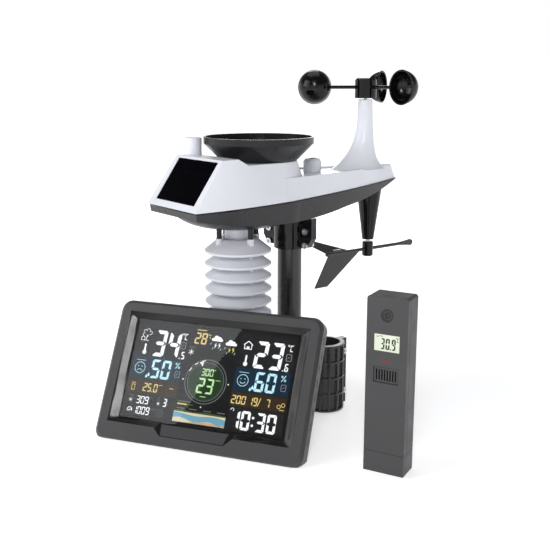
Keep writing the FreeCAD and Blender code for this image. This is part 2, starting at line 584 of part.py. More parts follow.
# ---------------------------------------------------------------- rain collector
def rain_collector():
    """Lift-off funnel with its filter, over a tipping bucket in a cradle."""
    foot = "seat_z + gap"
    bowl_edge = "rim_radius - funnel_wall"
    shoulder = "rim_top_z - rim_tall + 1"
    fall = "0.268"
    under_x = "58.3"
    under_z = f"{shoulder} - ({bowl_edge} - {under_x}) * {fall} - funnel_wall"
    funnel = turned("funnel_cone", [
        ("outlet_radius", "outlet_z"),
        ("outlet_radius + 3", "outlet_z"),
        ("outlet_radius + 3", f"{shoulder} - ({bowl_edge} - outlet_radius - 3) * {fall} - funnel_wall"),
        (under_x, under_z),
        ("funnel_foot_radius - 2.8", foot),
        ("funnel_foot_radius", foot),
        ("rim_radius", "rim_top_z - rim_tall"),
        ("rim_radius", "rim_top_z"),
        (bowl_edge, "rim_top_z"),
        (bowl_edge, shoulder),
        ("outlet_radius", f"{shoulder} - ({bowl_edge} - outlet_radius) * {fall}"),
    ])
    sub_part("rain_funnel", "turret", funnel)
    rest = f"{shoulder} - ({bowl_edge} - filter_radius) * {fall}"
    screen = turned("filter_dome", [
        ("filter_radius - 1.6", f"{rest} + 0.1", "filter_radius * 0.6", f"{rest} + 2.4"),
        ("filter_radius", f"{rest} + 0.1"),
        ("crown_flat", f"{rest} + 5", "filter_radius * 0.7", f"{rest} + 3.4"),
        ("0", f"{rest} + 5"),
        ("0", f"{rest} + 3.6"),
        ("crown_flat", f"{rest} + 3.6"),
    ])
    sub_part("funnel_filter", "turret", screen)

    trough = padded("bucket_trough", "XZ_Plane", [
        ("-bucket_half", "2"), ("-bucket_half * 0.55", "-7"), ("bucket_half * 0.55", "-7"),
        ("bucket_half", "2"), ("bucket_half - 1.6", "3.2"), ("bucket_half * 0.5", "-5.2"),
        ("1.2", "-5.2"), ("0.6", "bucket_deep - 5"), ("-0.6", "bucket_deep - 5"), ("-1.2", "-5.2"),
        ("-bucket_half * 0.5", "-5.2"), ("-bucket_half + 1.6", "3.2"),
    ], "bucket_width - 2.4", "-bucket_width / 2 + 1.2")
    walls = []
    for name, side in (("near", "-bucket_width / 2"), ("far", "bucket_width / 2 - 1.2")):
        walls.append(padded(f"bucket_{name}_wall", "XZ_Plane", [
            ("-bucket_half", "2"), ("-bucket_half * 0.55", "-7"), ("bucket_half * 0.55", "-7"),
            ("bucket_half", "2"), ("3", "bucket_deep - 5"), ("-3", "bucket_deep - 5"),
        ], "1.2", side))
    pins = rod("bucket_pin", "y", ("0", "-bucket_width / 2 - 4", "-4"), "bucket_width + 8", "pivot_radius")
    bucket = fuse("bucket_whole", trough, *walls, pins)
    lean = Rotation(Vector(0, 1, 0), number("bucket_lean"))
    group_turn = place(bucket, ("0", "0", "bucket_z"), lean)
    sub_part("tipping_bucket", "turret", group_turn)

    ears = []
    for name, low, high in (("near", "-bucket_width / 2 - 4", "-bucket_width / 2 - 1"),
                            ("far", "bucket_width / 2 + 1", "bucket_width / 2 + 4")):
        ears.append(block(f"{name}_ear", ("-7", "7"), (low, high),
                          ("cradle_z + 2", "bucket_z + 2")))
    base = block("cradle_base", ("-20", "20"), ("-bucket_width / 2 - 4", "bucket_width / 2 + 4"),
                 ("cradle_z", "cradle_z + 3"))
    foot_post = block("cradle_post", ("-10", "10"), ("-8", "8"), ("cradle_foot_z", "cradle_z + 0.5"))
    pivot = ("-4 * sin(bucket_lean)", "-20", "bucket_z - 4 * cos(bucket_lean)")
    cradle = cut("cradle", fuse("cradle_solid", *ears, base, foot_post),
                 rod("cradle_bore", "y", pivot, "40", "pivot_radius + slack"))
    sub_part("bucket_frame", "turret", cradle)


rain_collector()


# ---------------------------------------------------------------- radiation shield
def around(radius, count, first, make):
    """Repeat a piece on a circle about the unit's upright axis."""
    made = []
    for k in range(count):
        angle = math.radians(first + 360 / count * k)
        spot = (f"{radius} * {math.cos(angle):.5f}", f"{radius} * {math.sin(angle):.5f}")
        made.append(make(k, spot))
    return made


def radiation_shield():
    """Domed top, a stack of louvre plates and a floor, all hung from the hull on four posts."""
    holes = fuse("post_holes", *around("post_circle", 4, 0, lambda k, at: rod(
        f"post_hole_{k}", "z", (*at, "shield_floor_z - 2"), "130", "post_radius + slack")))
    dome = turned("dome_turn", [
        ("plate_radius - 1.2", "dome_rim_z - plate_rim"), ("plate_radius", "dome_rim_z - plate_rim + 1"),
        ("plate_radius", "dome_rim_z"), ("dome_top_radius", "dome_top_z"),
        ("neck_radius", "dome_top_z"), ("neck_radius", "dome_top_z + 14"), ("0", "dome_top_z + 14"),
        ("0", "dome_top_z - plate_wall"), ("dome_top_radius - 1", "dome_top_z - plate_wall"),
        ("plate_radius - plate_wall", "dome_rim_z - 1"),
        ("plate_radius - plate_wall", "dome_rim_z - plate_rim"),
    ])
    bosses = around("post_circle", 4, 0, lambda k, at: rod(
        f"boss_{k}", "z", (*at, "dome_top_z - 8"), "9.5", "sleeve_radius + 0.9"))
    dish = solid("Ellipsoid", "dish_over_shield", ("dish_x - shield_x", "0", "dish_z"), None,
                 Radius1="dish_depth", Radius2="dish_length", Radius3="dish_half")
    sub_part("shield_dome", "shield", cut("dome_drilled", fuse("dome_solid", dome, *bosses), holes, dish))

    plates = []
    for k in range(int(number("plate_count"))):
        rim = f"dome_rim_z - plate_pitch * {k + 1}"
        plates.append(turned(f"plate_{k + 1}", [
            ("plate_radius - 1.2", f"{rim} - plate_rim"), ("plate_radius", f"{rim} - plate_rim + 1"),
            ("plate_radius", rim), ("plate_bore + 2", f"{rim} + plate_rise"),
            ("plate_bore", f"{rim} + plate_rise"), ("plate_bore", f"{rim} + plate_rise - plate_wall"),
            ("plate_bore + 1", f"{rim} + plate_rise - plate_wall"),
            ("plate_radius - plate_wall", f"{rim} - 1"),
            ("plate_radius - plate_wall", f"{rim} - plate_rim"),
        ]))
    sub_part("shield_plates", "shield", cut("plates_drilled", group("plate_stack", *plates), holes))

    floor_disc = turned("floor_disc", [
        ("0", "shield_floor_z"), ("plate_radius - 6", "shield_floor_z"),
        ("plate_radius - 4", "shield_floor_z + 3"), ("0", "shield_floor_z + 3")])
    sub_part("shield_floor", "shield", cut("floor_drilled", floor_disc, holes))
    posts = around("post_circle", 4, 0, lambda k, at: rod(
        f"post_{k}", "z", (*at, "shield_floor_z"), "130", "post_radius"))
    sub_part("shield_posts", "shield", cut("posts_trimmed", group("post_set", *posts), dish))
    sleeves = around("post_circle", 4, 0, lambda k, at: cut(
        f"sleeve_{k}", rod(f"sleeve_out_{k}", "z", (*at, "dome_top_z + 1.5"), "25", "sleeve_radius"),
        rod(f"sleeve_in_{k}", "z", (*at, "dome_top_z"), "30", "post_radius + slack")))
    sub_part("shield_sleeves", "shield", cut("sleeves_trimmed", group("sleeve_set", *sleeves), dish))
    probe = fuse("probe_solid",
                 block("probe_board", ("-7", "7"), ("-0.8", "0.8"), ("120", "dome_top_z - plate_wall")),
                 rod("probe_capsule", "z", ("0", "0", "104"), "20", "5.5"))
    sub_part("climate_probe", "shield", probe)


radiation_shield()


# ---------------------------------------------------------------- pole, socket and its screws
def screw_set(tag, spots, grip, turn):
    """Pan-head screws with hex sockets on one side, and their nuts on the other."""
    screws, nuts = [], []
    for k, spot in enumerate(spots):
        shank = rod(f"{tag}_shank_{k}", "z", ("0", "0", f"-({grip}) - 5"), f"{grip} + 5", "screw_radius")
        head = rod(f"{tag}_head_{k}", "z", ("0", "0", "0"), "screw_head_tall", "screw_head_radius")
        hexagon = solid("Prism", f"{tag}_hex_{k}", ("0", "0", "0.8"), None,
                        Circumradius="1.7", Height="4")
        screws.append(place(cut(f"{tag}_screw_{k}", fuse(f"{tag}_blank_{k}", shank, head), hexagon),
                            spot, turn))
        nut = solid("Prism", f"{tag}_nut_blank_{k}", ("0", "0", f"-({grip}) - 3.2"), None,
                    Circumradius="nut_radius", Height="3.2")
        hole = rod(f"{tag}_nut_hole_{k}", "z", ("0", "0", f"-({grip}) - 6"), "9", "screw_radius")
        nuts.append(place(cut(f"{tag}_nut_{k}", nut, hole), spot, turn))
    return screws, nuts


def pole_and_socket():
    """Split socket under the hull that grips the pole, with four screws."""
    ring = rod("socket_barrel", "z", ("0", "0", "socket_low_z"), "socket_top_z - socket_low_z",
               "socket_radius")
    ears = padded("socket_ears", "YZ_Plane", [
        ("-ear_reach", "socket_top_z"), ("-ear_reach", "socket_low_z + ear_cut + 6"),
        ("-ear_reach + ear_cut", "socket_low_z + 2"), ("ear_reach - ear_cut", "socket_low_z + 2"),
        ("ear_reach", "socket_low_z + ear_cut + 6"), ("ear_reach", "socket_top_z"),
    ], "ear_half * 2", "-ear_half")
    bore = rod("socket_bore", "z", ("0", "0", "socket_low_z - 1"), "pole_top_z - socket_low_z + 1",
               "pole_radius")
    split = block("socket_split", ("-0.4", "0.4"), ("-ear_reach - 1", "ear_reach + 1"),
                  ("socket_low_z - 1", "pole_top_z"))
    outward = Rotation(Vector(0, 1, 0), -90)
    turned_ears = Rotation(Vector(0, 0, 1), number("ear_turn"))
    spots = [("-ear_half", f"{side} * socket_screw_y", f"socket_screw_low_z + socket_screw_pitch * {row}")
             for side in (-1, 1) for row in (0, 1)]
    holes = [rod(f"socket_hole_{k}", "x", ("-ear_half - 1", spot[1], spot[2]), "ear_half * 2 + 2",
                 "screw_radius + 0.1") for k, spot in enumerate(spots)]
    blank = cut("socket_drilled", fuse("socket_solid", ring, ears), bore, split, *holes)
    sub_part("pole_socket", "array", cut("socket_fitted", place(blank, ("0", "0", "0"), turned_ears),
                                         hull_skin))
    tube = cut("pole_tube",
               rod("pole_outside", "z", ("0", "0", "pole_low_z"), "pole_top_z - pole_low_z", "pole_radius"),
               rod("pole_inside", "z", ("0", "0", "pole_low_z - 1"), "pole_top_z - pole_low_z + 2",
                   "pole_radius - pole_wall"))
    sub_part("mounting_pole", "array", tube)
    return [[place(group(f"socket_{tag}_level", *items), ("0", "0", "0"), turned_ears)]
            for tag, items in zip(("screw", "nut"), screw_set("socket", spots, "ear_half * 2", outward))]


def half_ring(name, inner, outer, half_tall, front):
    """Half of a tube about the mast's axis, on its front or its back."""
    tube = cut(f"{name}_tube",
               rod(f"{name}_out", "z", ("0", "0", f"-({half_tall})"), f"2 * ({half_tall})", outer),
               rod(f"{name}_in", "z", ("0", "0", f"-({half_tall}) - 1"), f"2 * ({half_tall}) + 2", inner))
    span = ("-60", "-0.3") if front else ("0.3", "60")
    return common(name, tube, block(f"{name}_half", ("-60", "60"), span, ("-60", "60")))


def mast_bracket():
    """Ribbed clamp cap, arm with a saddle for the mast and a ring for the pole, rubber pads."""
    shell_in = "mast_radius + pad_thick"
    shell_out = "mast_radius + pad_thick + clamp_wall"
    rib_out = "mast_radius + pad_thick + clamp_wall + rib_tall"
    cap = [half_ring("cap_shell", shell_in, shell_out, "clamp_half_tall", True)]
    for k in range(5):
        low = f"-clamp_half_tall + (2 * clamp_half_tall - rib_thick) * {k} / 4"
        hoop = cut(f"hoop_{k}_ring", rod(f"hoop_{k}_out", "z", ("0", "0", low), "rib_thick", rib_out),
                   rod(f"hoop_{k}_in", "z", ("0", "0", f"{low} - 1"), "rib_thick + 2", shell_in))
        cap.append(common(f"hoop_{k}", hoop, block(f"hoop_{k}_half", ("-60", "60"), ("-60", "-0.3"),
                                                   ("-60", "60"))))
    for k, angle in enumerate((-144, -117, -90, -63, -36)):
        rib = solid("Box", f"stave_{k}", ("0", "0", "-clamp_half_tall"), None, Length=rib_out,
                    Width="rib_thick", Height="2 * clamp_half_tall")
        turn = Rotation(Vector(0, 0, 1), angle)
        cap.append(place(cut(f"stave_{k}_cut", rib, rod(f"stave_{k}_bore", "z", ("0", "0", "-60"), "120",
                                                        shell_in)), ("0", "0", "0"), turn))
    wings = block("cap_wings", ("-flange_reach", "flange_reach"), ("-flange_thick - 0.3", "-0.3"),
                  ("-clamp_half_tall", "clamp_half_tall"))
    core = rod("cap_core", "z", ("0", "0", "-60"), "120", shell_in)
    spots = [(f"{side} * clamp_screw_x", "-flange_thick - 0.3", f"{row} * clamp_screw_z")
             for side in (-1, 1) for row in (-1, 1)]
    holes = [rod(f"clamp_hole_{k}", "y", (spot[0], "-20", spot[2]), "40", "screw_radius + 0.1")
             for k, spot in enumerate(spots)]
    sub_part("mast_clamp_cap", "clamp", cut("cap_drilled", fuse("cap_solid", *cap, wings), core, *holes))

    saddle = half_ring("saddle", shell_in, shell_out, "clamp_half_tall", False)
    arm_wings = block("arm_wings", ("-flange_reach", "flange_reach"), ("0.3", "flange_thick + 0.3"),
                      ("-clamp_half_tall", "clamp_half_tall"))
    web = block("arm_web_plate", ("-arm_web / 2", "arm_web / 2"), ("mast_radius", "pole_y"),
                ("-arm_half_tall", "arm_half_tall"))
    chords = [block(f"arm_chord_{k}", ("-arm_flange / 2", "arm_flange / 2"), ("mast_radius", "pole_y"), span)
              for k, span in enumerate((("-arm_half_tall", "-arm_half_tall + arm_flange_thick"),
                                        ("arm_half_tall - arm_flange_thick", "arm_half_tall")))]
    grip = rod("pole_grip", "z", ("0", "pole_y", "-arm_half_tall"), "2 * arm_half_tall", "socket_radius")
    bore = rod("grip_bore", "z", ("0", "pole_y", "-60"), "120", "pole_radius")
    arm = fuse("arm_solid", saddle, arm_wings, web, *chords, grip)
    sub_part("bracket_arm", "clamp", cut("arm_bored", arm, bore, core, *holes))
    pads = [half_ring(f"pad_{side}", "mast_radius", shell_in, "clamp_half_tall", side == "front")
            for side in ("front", "back")]
    sub_part("mast_pads", "clamp", group("pad_pair", *pads))
    return screw_set("clamp", spots, "flange_thick * 2 + 0.6", Rotation(Vector(1, 0, 0), 90))


def fasteners():
    """All the M4 screws with their nuts, on the socket and on the clamp, in one node."""
    socket_screws, socket_nuts = pole_and_socket()
    clamp_screws, clamp_nuts = mast_bracket()
    upper = place(group("socket_fasteners", *socket_screws, *socket_nuts), ("0", "pole_y", "table_z"))
    sub_part("bracket_fasteners", "clamp", group("all_fasteners", upper, *clamp_screws, *clamp_nuts))


fasteners()


# ---------------------------------------------------------------- inside the array
sub_part("array_board", "array", block(
    "main_board", ("level_x - 22", "level_x - 22 + board_long"), ("-board_wide / 2", "board_wide / 2"),
    ("board_z", "board_z + board_thick")))
sub_part("array_batteries", "array", group("array_cells", *[
    rod(f"array_cell_{k}", "y", (f"cell_x + cell_pitch * {k}", "-cell_long / 2", "cell_z"),
        "cell_long", "cell_radius") for k in range(3)]))


# ---------------------------------------------------------------- desk units, drawn lying on their backs
# Across the face, up the face, and out of the front; the front face is at height 0.
TILT_TAN = "tan(console_tilt)"
CORNER = 0.29289


def rounded(left, right, low, high, radius):
    """A rectangle with round corners."""
    near = f"({radius}) * {CORNER}"
    return [
        (f"{left} + {radius}", low, f"{left} + {near}", f"{low} + {near}"),
        (f"{right} - {radius}", low),
        (right, f"{low} + {radius}", f"{right} - {near}", f"{low} + {near}"),
        (right, f"{high} - {radius}"),
        (f"{right} - {radius}", high, f"{right} - {near}", f"{high} - {near}"),
        (f"{left} + {radius}", high),
        (left, f"{high} - {radius}", f"{left} + {near}", f"{high} - {near}"),
        (left, f"{low} + {radius}"),
    ]


def shouldered(left, right, low, high, radius):
    """A rectangle with round upper corners and square lower ones."""
    near = f"({radius}) * {CORNER}"
    return [
        (left, low), (right, low), (right, f"{high} - {radius}"),
        (f"{right} - {radius}", high, f"{right} - {near}", f"{high} - {near}"),
        (f"{left} + {radius}", high),
        (left, f"{high} - {radius}", f"{left} + {near}", f"{high} - {near}"),
    ]


def plate(name, corners, low, high):
    """An outline in the face's plane made solid between two heights."""
    return padded(name, "XY_Plane", corners, f"({high}) - ({low})", low)


def case_block(tag, half, tall, radius, edge, back, front, bevel_front):
    """A case half: an upright wall, and a bevel round its front or back edge."""
    full = rounded(f"-{half}", half, "0", tall, radius)
    small = rounded(f"-{half} + {edge}", f"{half} - {edge}", edge, f"{tall} - {edge}",
                    f"({radius} - {edge} * 0.4)")
    if bevel_front:
        straight = plate(f"{tag}_wall", full, back, f"{front} - {edge}")
        bevel = loft(f"{tag}_bevel", section(f"{tag}_wide", full, f"{front} - {edge}"),
                     section(f"{tag}_narrow", small, front))
    else:
        straight = plate(f"{tag}_wall", full, f"{back} + {edge}", front)
        bevel = loft(f"{tag}_bevel", section(f"{tag}_narrow", small, back),
                     section(f"{tag}_wide", full, f"{back} + {edge}"))
    return fuse(f"{tag}_block", straight, bevel)


def under_table(name, lift):
    """All the space below the table top, or below a level a little above it."""
    raised = f"{lift} / cos(console_tilt)"
    return padded(name, "YZ_Plane", [
        (f"-30 * {TILT_TAN} + {raised}", "30"), ("-120", "30"), ("-120", "-130"),
        (f"130 * {TILT_TAN} + {raised}", "-130")], "400", "-200")


def rectangle(left, right, low, high):
    """Four plain corners."""
    return [(left, low), (right, low), (right, high), (left, high)]


def console_front():
    """Bezel with its sloping window, glass, display and the wide key in its scoop."""
    half = "console_width / 2"
    glass_half = f"({half} - side_border - side_slope)"
    glass_low = "(low_border + window_slope)"
    glass_high = "(console_height - top_border - window_slope)"
    block_of_bezel = case_block("bezel", half, "console_height", "console_round", "console_edge",
                                "-bezel_depth", "0", True)
    flare = "0.5"
    window = loft("window", section("window_out", rectangle(
        f"-({half} - side_border + {flare})", f"{half} - side_border + {flare}", f"low_border - {flare}",
        f"console_height - top_border + {flare}"), flare), section("window_in", rectangle(
            f"-{glass_half}", glass_half, glass_low, glass_high), "-glass_in"))
    pocket = block("glass_pocket", (f"-{glass_half} - 1.5", f"{glass_half} + 1.5"),
                   (f"{glass_low} - 1", f"{glass_high} + 1.5"), ("-bezel_depth - 1", "-glass_in"))
    low, shift = f"({glass_low} - snooze_tall)", "snooze_shift"
    scoop = loft("scoop", section("scoop_out", [
        (f"{shift} - snooze_top_half", f"{glass_low} + 1"), (f"{shift} - snooze_low_half", low),
        (f"{shift} + snooze_low_half", low), (f"{shift} + snooze_top_half", f"{glass_low} + 1")], "0.01"),
        section("scoop_in", [
            (f"{shift} - snooze_low_half - 3.5", f"{glass_low} + 1"),
            (f"{shift} - snooze_low_half - 3", f"{glass_low} - 0.4"),
            (f"{shift} + snooze_low_half + 3", f"{glass_low} - 0.4"),
            (f"{shift} + snooze_low_half + 3.5", f"{glass_low} + 1")], "-glass_in"))

    def key_prism(name, spare, top):
        return plate(name, [
            (f"{shift} - snooze_low_half - 2 - {spare}", f"{glass_low} - 2 + {spare}"),
            (f"{shift} - snooze_low_half + 0.6 - {spare}", f"{low} + 0.9 - {spare}"),
            (f"{shift} + snooze_low_half - 0.6 + {spare}", f"{low} + 0.9 - {spare}"),
            (f"{shift} + snooze_low_half + 2 + {spare}", f"{glass_low} - 2 + {spare}")],
            "-snooze_deep", top)
    slot = key_prism("snooze_slot", "0.35", "1")
    slot_deep = plate("snooze_well", rectangle(
        f"{shift} - snooze_low_half - 2.35", f"{shift} + snooze_low_half + 2.35", f"{low} + 0.6",
        f"{glass_low} - 1.65"), "-bezel_depth - 1", "-snooze_deep + 0.1")
    hollow = plate("bezel_hollow", rectangle(f"-{half} + 4", f"{half} - 4", "8", "console_height - 4"),
                   "-bezel_depth - 1", "-bezel_depth + 1.5")
    rest = under_table("table_under_bezel", "foot_tall")
    vents = [side_slot(k, side, "-bezel_depth") for side in (-1, 1)
             for k in range(int(number("vent_count")))]
    sub_part("console_bezel", "console", cut("bezel_open", block_of_bezel, window, pocket, scoop, slot,
                                             slot_deep, hollow, rest, *vents))
    sub_part("snooze_key", "console", cut("snooze_solid", key_prism("snooze_prism", "0", "0"), scoop))
    sub_part("display_glass", "console", block(
        "glass_sheet", (f"-{glass_half} - 1.2", f"{glass_half} + 1.2"),
        (f"{glass_low} - 0.8", f"{glass_high} + 1.2"), ("-glass_in - glass_thick", "-glass_in")))
    sub_part("lcd_panel", "console", block(
        "lcd_sheet", (f"-{glass_half} - 0.8", f"{glass_half} + 0.8"),
        (f"{glass_low} - 0.6", f"{glass_high} + 0.8"),
        ("-glass_in - glass_thick - 3.6", "-glass_in - glass_thick - 0.2")))


def side_slot(k, side, out):
    """One of the shallow vents in a side wall, just behind the seam."""
    edge = f"{side} * console_width / 2"
    low = f"26 + vent_pitch * {k}"
    span = (f"{edge} - 1.4", f"{edge} + 1.4")
    return block(f"vent_{k}_{'left' if side < 0 else 'right'}", span, (low, f"{low} + 8.5"),
                 (f"{out} - 0.01", f"{out} + 1.8"))


def console_back():
    """Rear case, its keys, kickstand, battery cover, inlet, feet and contents."""
    half = "console_width / 2"
    block_of_case = case_block("rear", half, "console_height", "console_round", "console_back_edge",
                               "-console_depth", "-bezel_depth", False)
    inset = "console_back_edge"
    hollow = block("rear_hollow", (f"-{half} + {inset}", f"{half} - {inset}"),
                   ("17.5", f"console_height - {inset}"),
                   ("-console_depth + wall", "-bezel_depth + 1"))
    ears = [block(f"stand_ear_{k}", span, ("stand_z - 5", "stand_z + 5"),
                  ("-console_depth - stand_out - 3.6", "-console_depth + 1"))
            for k, span in enumerate((("-stand_half - 4.5", "-stand_half - 0.6"),
                                      ("stand_half + 0.6", "stand_half + 4.5")))]
    pin_hole = rod("stand_bore", "x", ("-stand_half - 6", "stand_z", "-console_depth - stand_out"),
                   "2 * stand_half + 12", "stand_pin_radius + slack")
    keys, key_holes = [], []
    for k in range(4):
        centre = f"key_pitch * {k - 1.5}"
        span = (f"{centre} - key_wide / 2", f"{centre} + key_wide / 2")
        rise = ("key_z - key_tall / 2", "key_z + key_tall / 2")
        keys.append(block(f"key_{k + 1}", span, rise,
                          ("-console_depth - 0.9", "-console_depth - 0.9 + key_long")))
        key_holes.append(block(f"key_hole_{k + 1}", (f"{span[0]} - 0.35", f"{span[1]} + 0.35"),
                               (f"{rise[0]} - 0.35", f"{rise[1]} + 0.35"),
                               ("-console_depth - 2", "-console_depth + wall + 1")))
    cover_span = ("cover_x - cover_half_wide", "cover_x + cover_half_wide")
    cover_rise = ("cover_low_z", "cover_low_z + cover_tall")
    cover_hole = block("cover_hole", (f"{cover_span[0]} - gap", f"{cover_span[1]} + gap"),
                       (f"{cover_rise[0]} - gap", f"{cover_rise[1]} + gap"),
                       ("-console_depth - 1", "-console_depth + wall + 1"))
    inlet_hole = rod("inlet_hole", "z", ("jack_x", "jack_z", "-console_depth - 1"), "6", "5.6")
    rest = under_table("table_under_case", "foot_tall")
    sub_part("console_rear_case", "console", cut(
        "rear_open", fuse("rear_with_ears", block_of_case, *ears), hollow, pin_hole, cover_hole,
        inlet_hole, rest, *key_holes))
    for k, key in enumerate(keys):
        sub_part(f"console_key_{k + 1}", "console", key)

    leg = block("stand_leg", ("-stand_half", "stand_half"), ("-76", "2.3"),
                ("-stand_thick / 2", "stand_thick / 2"))
    relief = block("stand_relief", ("-stand_half + 9", "stand_half - 9"), ("-58", "-9"),
                   ("-stand_thick / 2 - 1", "-stand_thick / 2 + 1.4"))
    pin = rod("stand_pin", "x", ("-stand_half - 4", "0", "0"), "2 * stand_half + 8", "stand_pin_radius")
    swung = place(fuse("stand_solid", cut("stand_frame", leg, relief), pin),
                  ("0", "stand_z", "-console_depth - stand_out"),
                  Rotation(Vector(1, 0, 0), number("stand_open")))
    sub_part("kickstand", "console", cut("stand_trimmed", swung, under_table("table_under_stand", "0")))
    sub_part("console_battery_cover", "console", block(
        "cover_sheet", cover_span, cover_rise, ("-console_depth", "-console_depth + 2")))
    sub_part("console_batteries", "console", group("console_cells", *[
        rod(f"console_cell_{k}", "y", (f"cover_x - 11 + 11 * {k}", "cover_low_z + 8", "-16.2"), "44.5", "5")
        for k in range(3)]))
    sub_part("console_board", "console", block(
        "circuit_board", ("-100", "58"), ("34", "130"), ("-14", "-12.4")))
    sub_part("power_jack", "console", cut(
        "jack_body", rod("jack_barrel", "z", ("jack_x", "jack_z", "-console_depth"), "9.8", "5.5"),
        rod("jack_bore", "z", ("jack_x", "jack_z", "-console_depth - 1"), "9.5", "jack_radius")))
    strips = group("foot_strips", *[
        block(f"foot_strip_{k}", span, ("-5", "30"), ("-19", "-4"))
        for k, span in enumerate((("-100", "-66"), ("66", "100")))])
    sub_part("console_feet", "console", cut(
        "feet_flat", common("feet_low", strips, under_table("table_over_feet", "foot_tall")),
        under_table("table_under_feet", "0")))


console_front()
console_back()


def remote_unit():
    """Slim two-part case with a cap over the cells, a small display, a grille and a sensor eye."""
    half = "remote_width / 2"
    inner = f"({half} - remote_wall)"
    split = "-remote_split"
    body = shouldered(f"-{half}", half, "remote_cover_tall", "remote_height", "remote_round")
    lip = shouldered(f"-{half} + 0.5", f"{half} - 0.5", "remote_cover_tall", "remote_height - 0.5",
                     "remote_round")
    inside = ("remote_cover_tall - 1", "remote_height - remote_wall")
    lcd_half = "remote_lcd_wide / 2"
    lcd_rise = ("remote_lcd_z", "remote_lcd_z + remote_lcd_tall")
    slots = []
    count = int(number("grille_slots"))
    for k in range(count):
        middle = f"grille_wide * {(k + 0.5) / count - 0.5:.4f} * 0.86"
        slots.append(block(f"grille_slot_{k}", (f"{middle} - 0.75", f"{middle} + 0.75"),
                           ("grille_z + 2.5", "grille_z + grille_tall - 2.5"), ("-remote_wall - 1", "1")))
    front = cut(
        "remote_front_open", plate("remote_front_wall", body, split, "0"),
        block("remote_front_hollow", (f"-{inner}", inner), inside, (f"{split} - 1", "-remote_wall")),
        block("remote_window", (f"-{lcd_half}", lcd_half), lcd_rise, ("-remote_wall - 1", "1")),
        rod("eye_dish", "z", ("0", "eye_z", "-1.2"), "2", "eye_radius"),
        rod("eye_hole", "z", ("0", "eye_z", "-5"), "6", "2.6"),
        block("grille_frame", ("-grille_wide / 2", "grille_wide / 2"),
              ("grille_z", "grille_z + grille_tall"), ("-0.8", "1")), *slots)
    sub_part("remote_front_case", "remote", front)
    rear = cut(
        "remote_rear_open", fuse(
            "remote_rear_blank", plate("remote_rear_wall", body, "-remote_depth", f"{split} - 0.7"),
            plate("remote_rear_lip", lip, f"{split} - 0.7", split)),
        block("remote_rear_hollow", (f"-{inner}", inner), inside,
              ("-remote_depth + remote_wall", f"{split} + 1")),
        rod("hook_hole", "z", ("0", "hook_z", "-remote_depth - 1"), "remote_wall + 2", "hook_radius"))
    sub_part("remote_rear_case", "remote", rear)
    cap = cut("remote_cap", plate("remote_cap_wall", rectangle(
        f"-{half}", half, "0", "remote_cover_tall - gap"), "-remote_depth", "0"),
        block("remote_cap_hollow", (f"-{inner}", inner), ("remote_wall", "remote_cover_tall + 1"),
              ("-remote_depth + remote_wall", "-remote_wall")))
    sub_part("remote_battery_cover", "remote", cap)
    sub_part("remote_lcd", "remote", block(
        "remote_lcd_sheet", (f"-{lcd_half} + 0.1", f"{lcd_half} - 0.1"),
        ("remote_lcd_z + 0.1", "remote_lcd_z + remote_lcd_tall - 0.1"), ("-remote_wall - 2", "-0.7")))
    sub_part("remote_sensor_eye", "remote", rod(
        "eye_lens", "z", ("0", "eye_z", "-5"), "3.4", "2.5"))
    sub_part("remote_board", "remote", block(
        "remote_board_sheet", ("-17", "17"), ("remote_height - 88", "remote_height - 5"), ("-8.6", "-7")))
    sub_part("remote_batteries", "remote", group("remote_cells", *[
        rod(f"remote_cell_{k}", "y", (f"8.5 * {side}", "remote_cover_tall + 8", "-13"), "50", "cell_radius")
        for k, side in enumerate((-1, 1))]))


remote_unit()


# ---------------------------------------------------------------- check and write
doc.recompute()
for item in doc.Objects:
    if "Invalid" in item.State or "Error" in item.State:
        raise RuntimeError(f"{item.Name} failed: {item.State}")
os.makedirs("parts", exist_ok=True)
for item in NODES:
    shape = item.Shape
    if shape.isNull() or not shape.isValid() or not shape.Solids:
        raise RuntimeError(f"{item.Label} has no valid solid")
    shape.exportStep(f"parts/{item.Label}.step")
    box = shape.BoundBox
    print(f"{item.Label:24} {len(shape.Solids):3} {shape.Volume:10.0f}  "
          f"{box.XMin:7.1f}{box.XMax:7.1f} {box.YMin:7.1f}{box.YMax:7.1f} {box.ZMin:7.1f}{box.ZMax:7.1f}")
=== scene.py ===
"""Looks for a home weather station: pole-mounted sensor array, colour console and slim thermometer."""
import json
import math

import bmesh
import bpy
from mathutils import Matrix, Vector


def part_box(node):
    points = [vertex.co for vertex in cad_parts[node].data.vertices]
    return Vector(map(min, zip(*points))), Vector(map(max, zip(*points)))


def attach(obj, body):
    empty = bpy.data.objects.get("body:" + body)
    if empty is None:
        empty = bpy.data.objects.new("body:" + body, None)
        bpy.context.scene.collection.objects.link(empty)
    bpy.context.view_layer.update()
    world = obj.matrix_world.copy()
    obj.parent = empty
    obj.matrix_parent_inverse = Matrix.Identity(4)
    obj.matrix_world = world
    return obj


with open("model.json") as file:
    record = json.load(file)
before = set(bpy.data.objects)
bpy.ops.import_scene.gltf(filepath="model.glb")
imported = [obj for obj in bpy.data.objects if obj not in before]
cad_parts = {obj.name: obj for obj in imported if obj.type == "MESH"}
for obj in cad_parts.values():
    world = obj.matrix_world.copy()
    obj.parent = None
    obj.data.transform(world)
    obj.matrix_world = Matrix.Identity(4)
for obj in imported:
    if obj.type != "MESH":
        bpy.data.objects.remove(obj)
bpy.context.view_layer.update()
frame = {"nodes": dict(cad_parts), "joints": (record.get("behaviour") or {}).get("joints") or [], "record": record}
NODES = frame["nodes"]
JOINTS = {joint["name"]: joint for joint in frame["joints"]}
MOUNTS = {mount["name"]: mount for mount in frame["record"]["mounts"]}
SLOT_OF = {part["node"]: part["material_slot"] for part in frame["record"]["subparts"]}
MM = 0.001
# corners of CAD faces closer than this are one corner
MERGE_GAP = 0.004 * MM


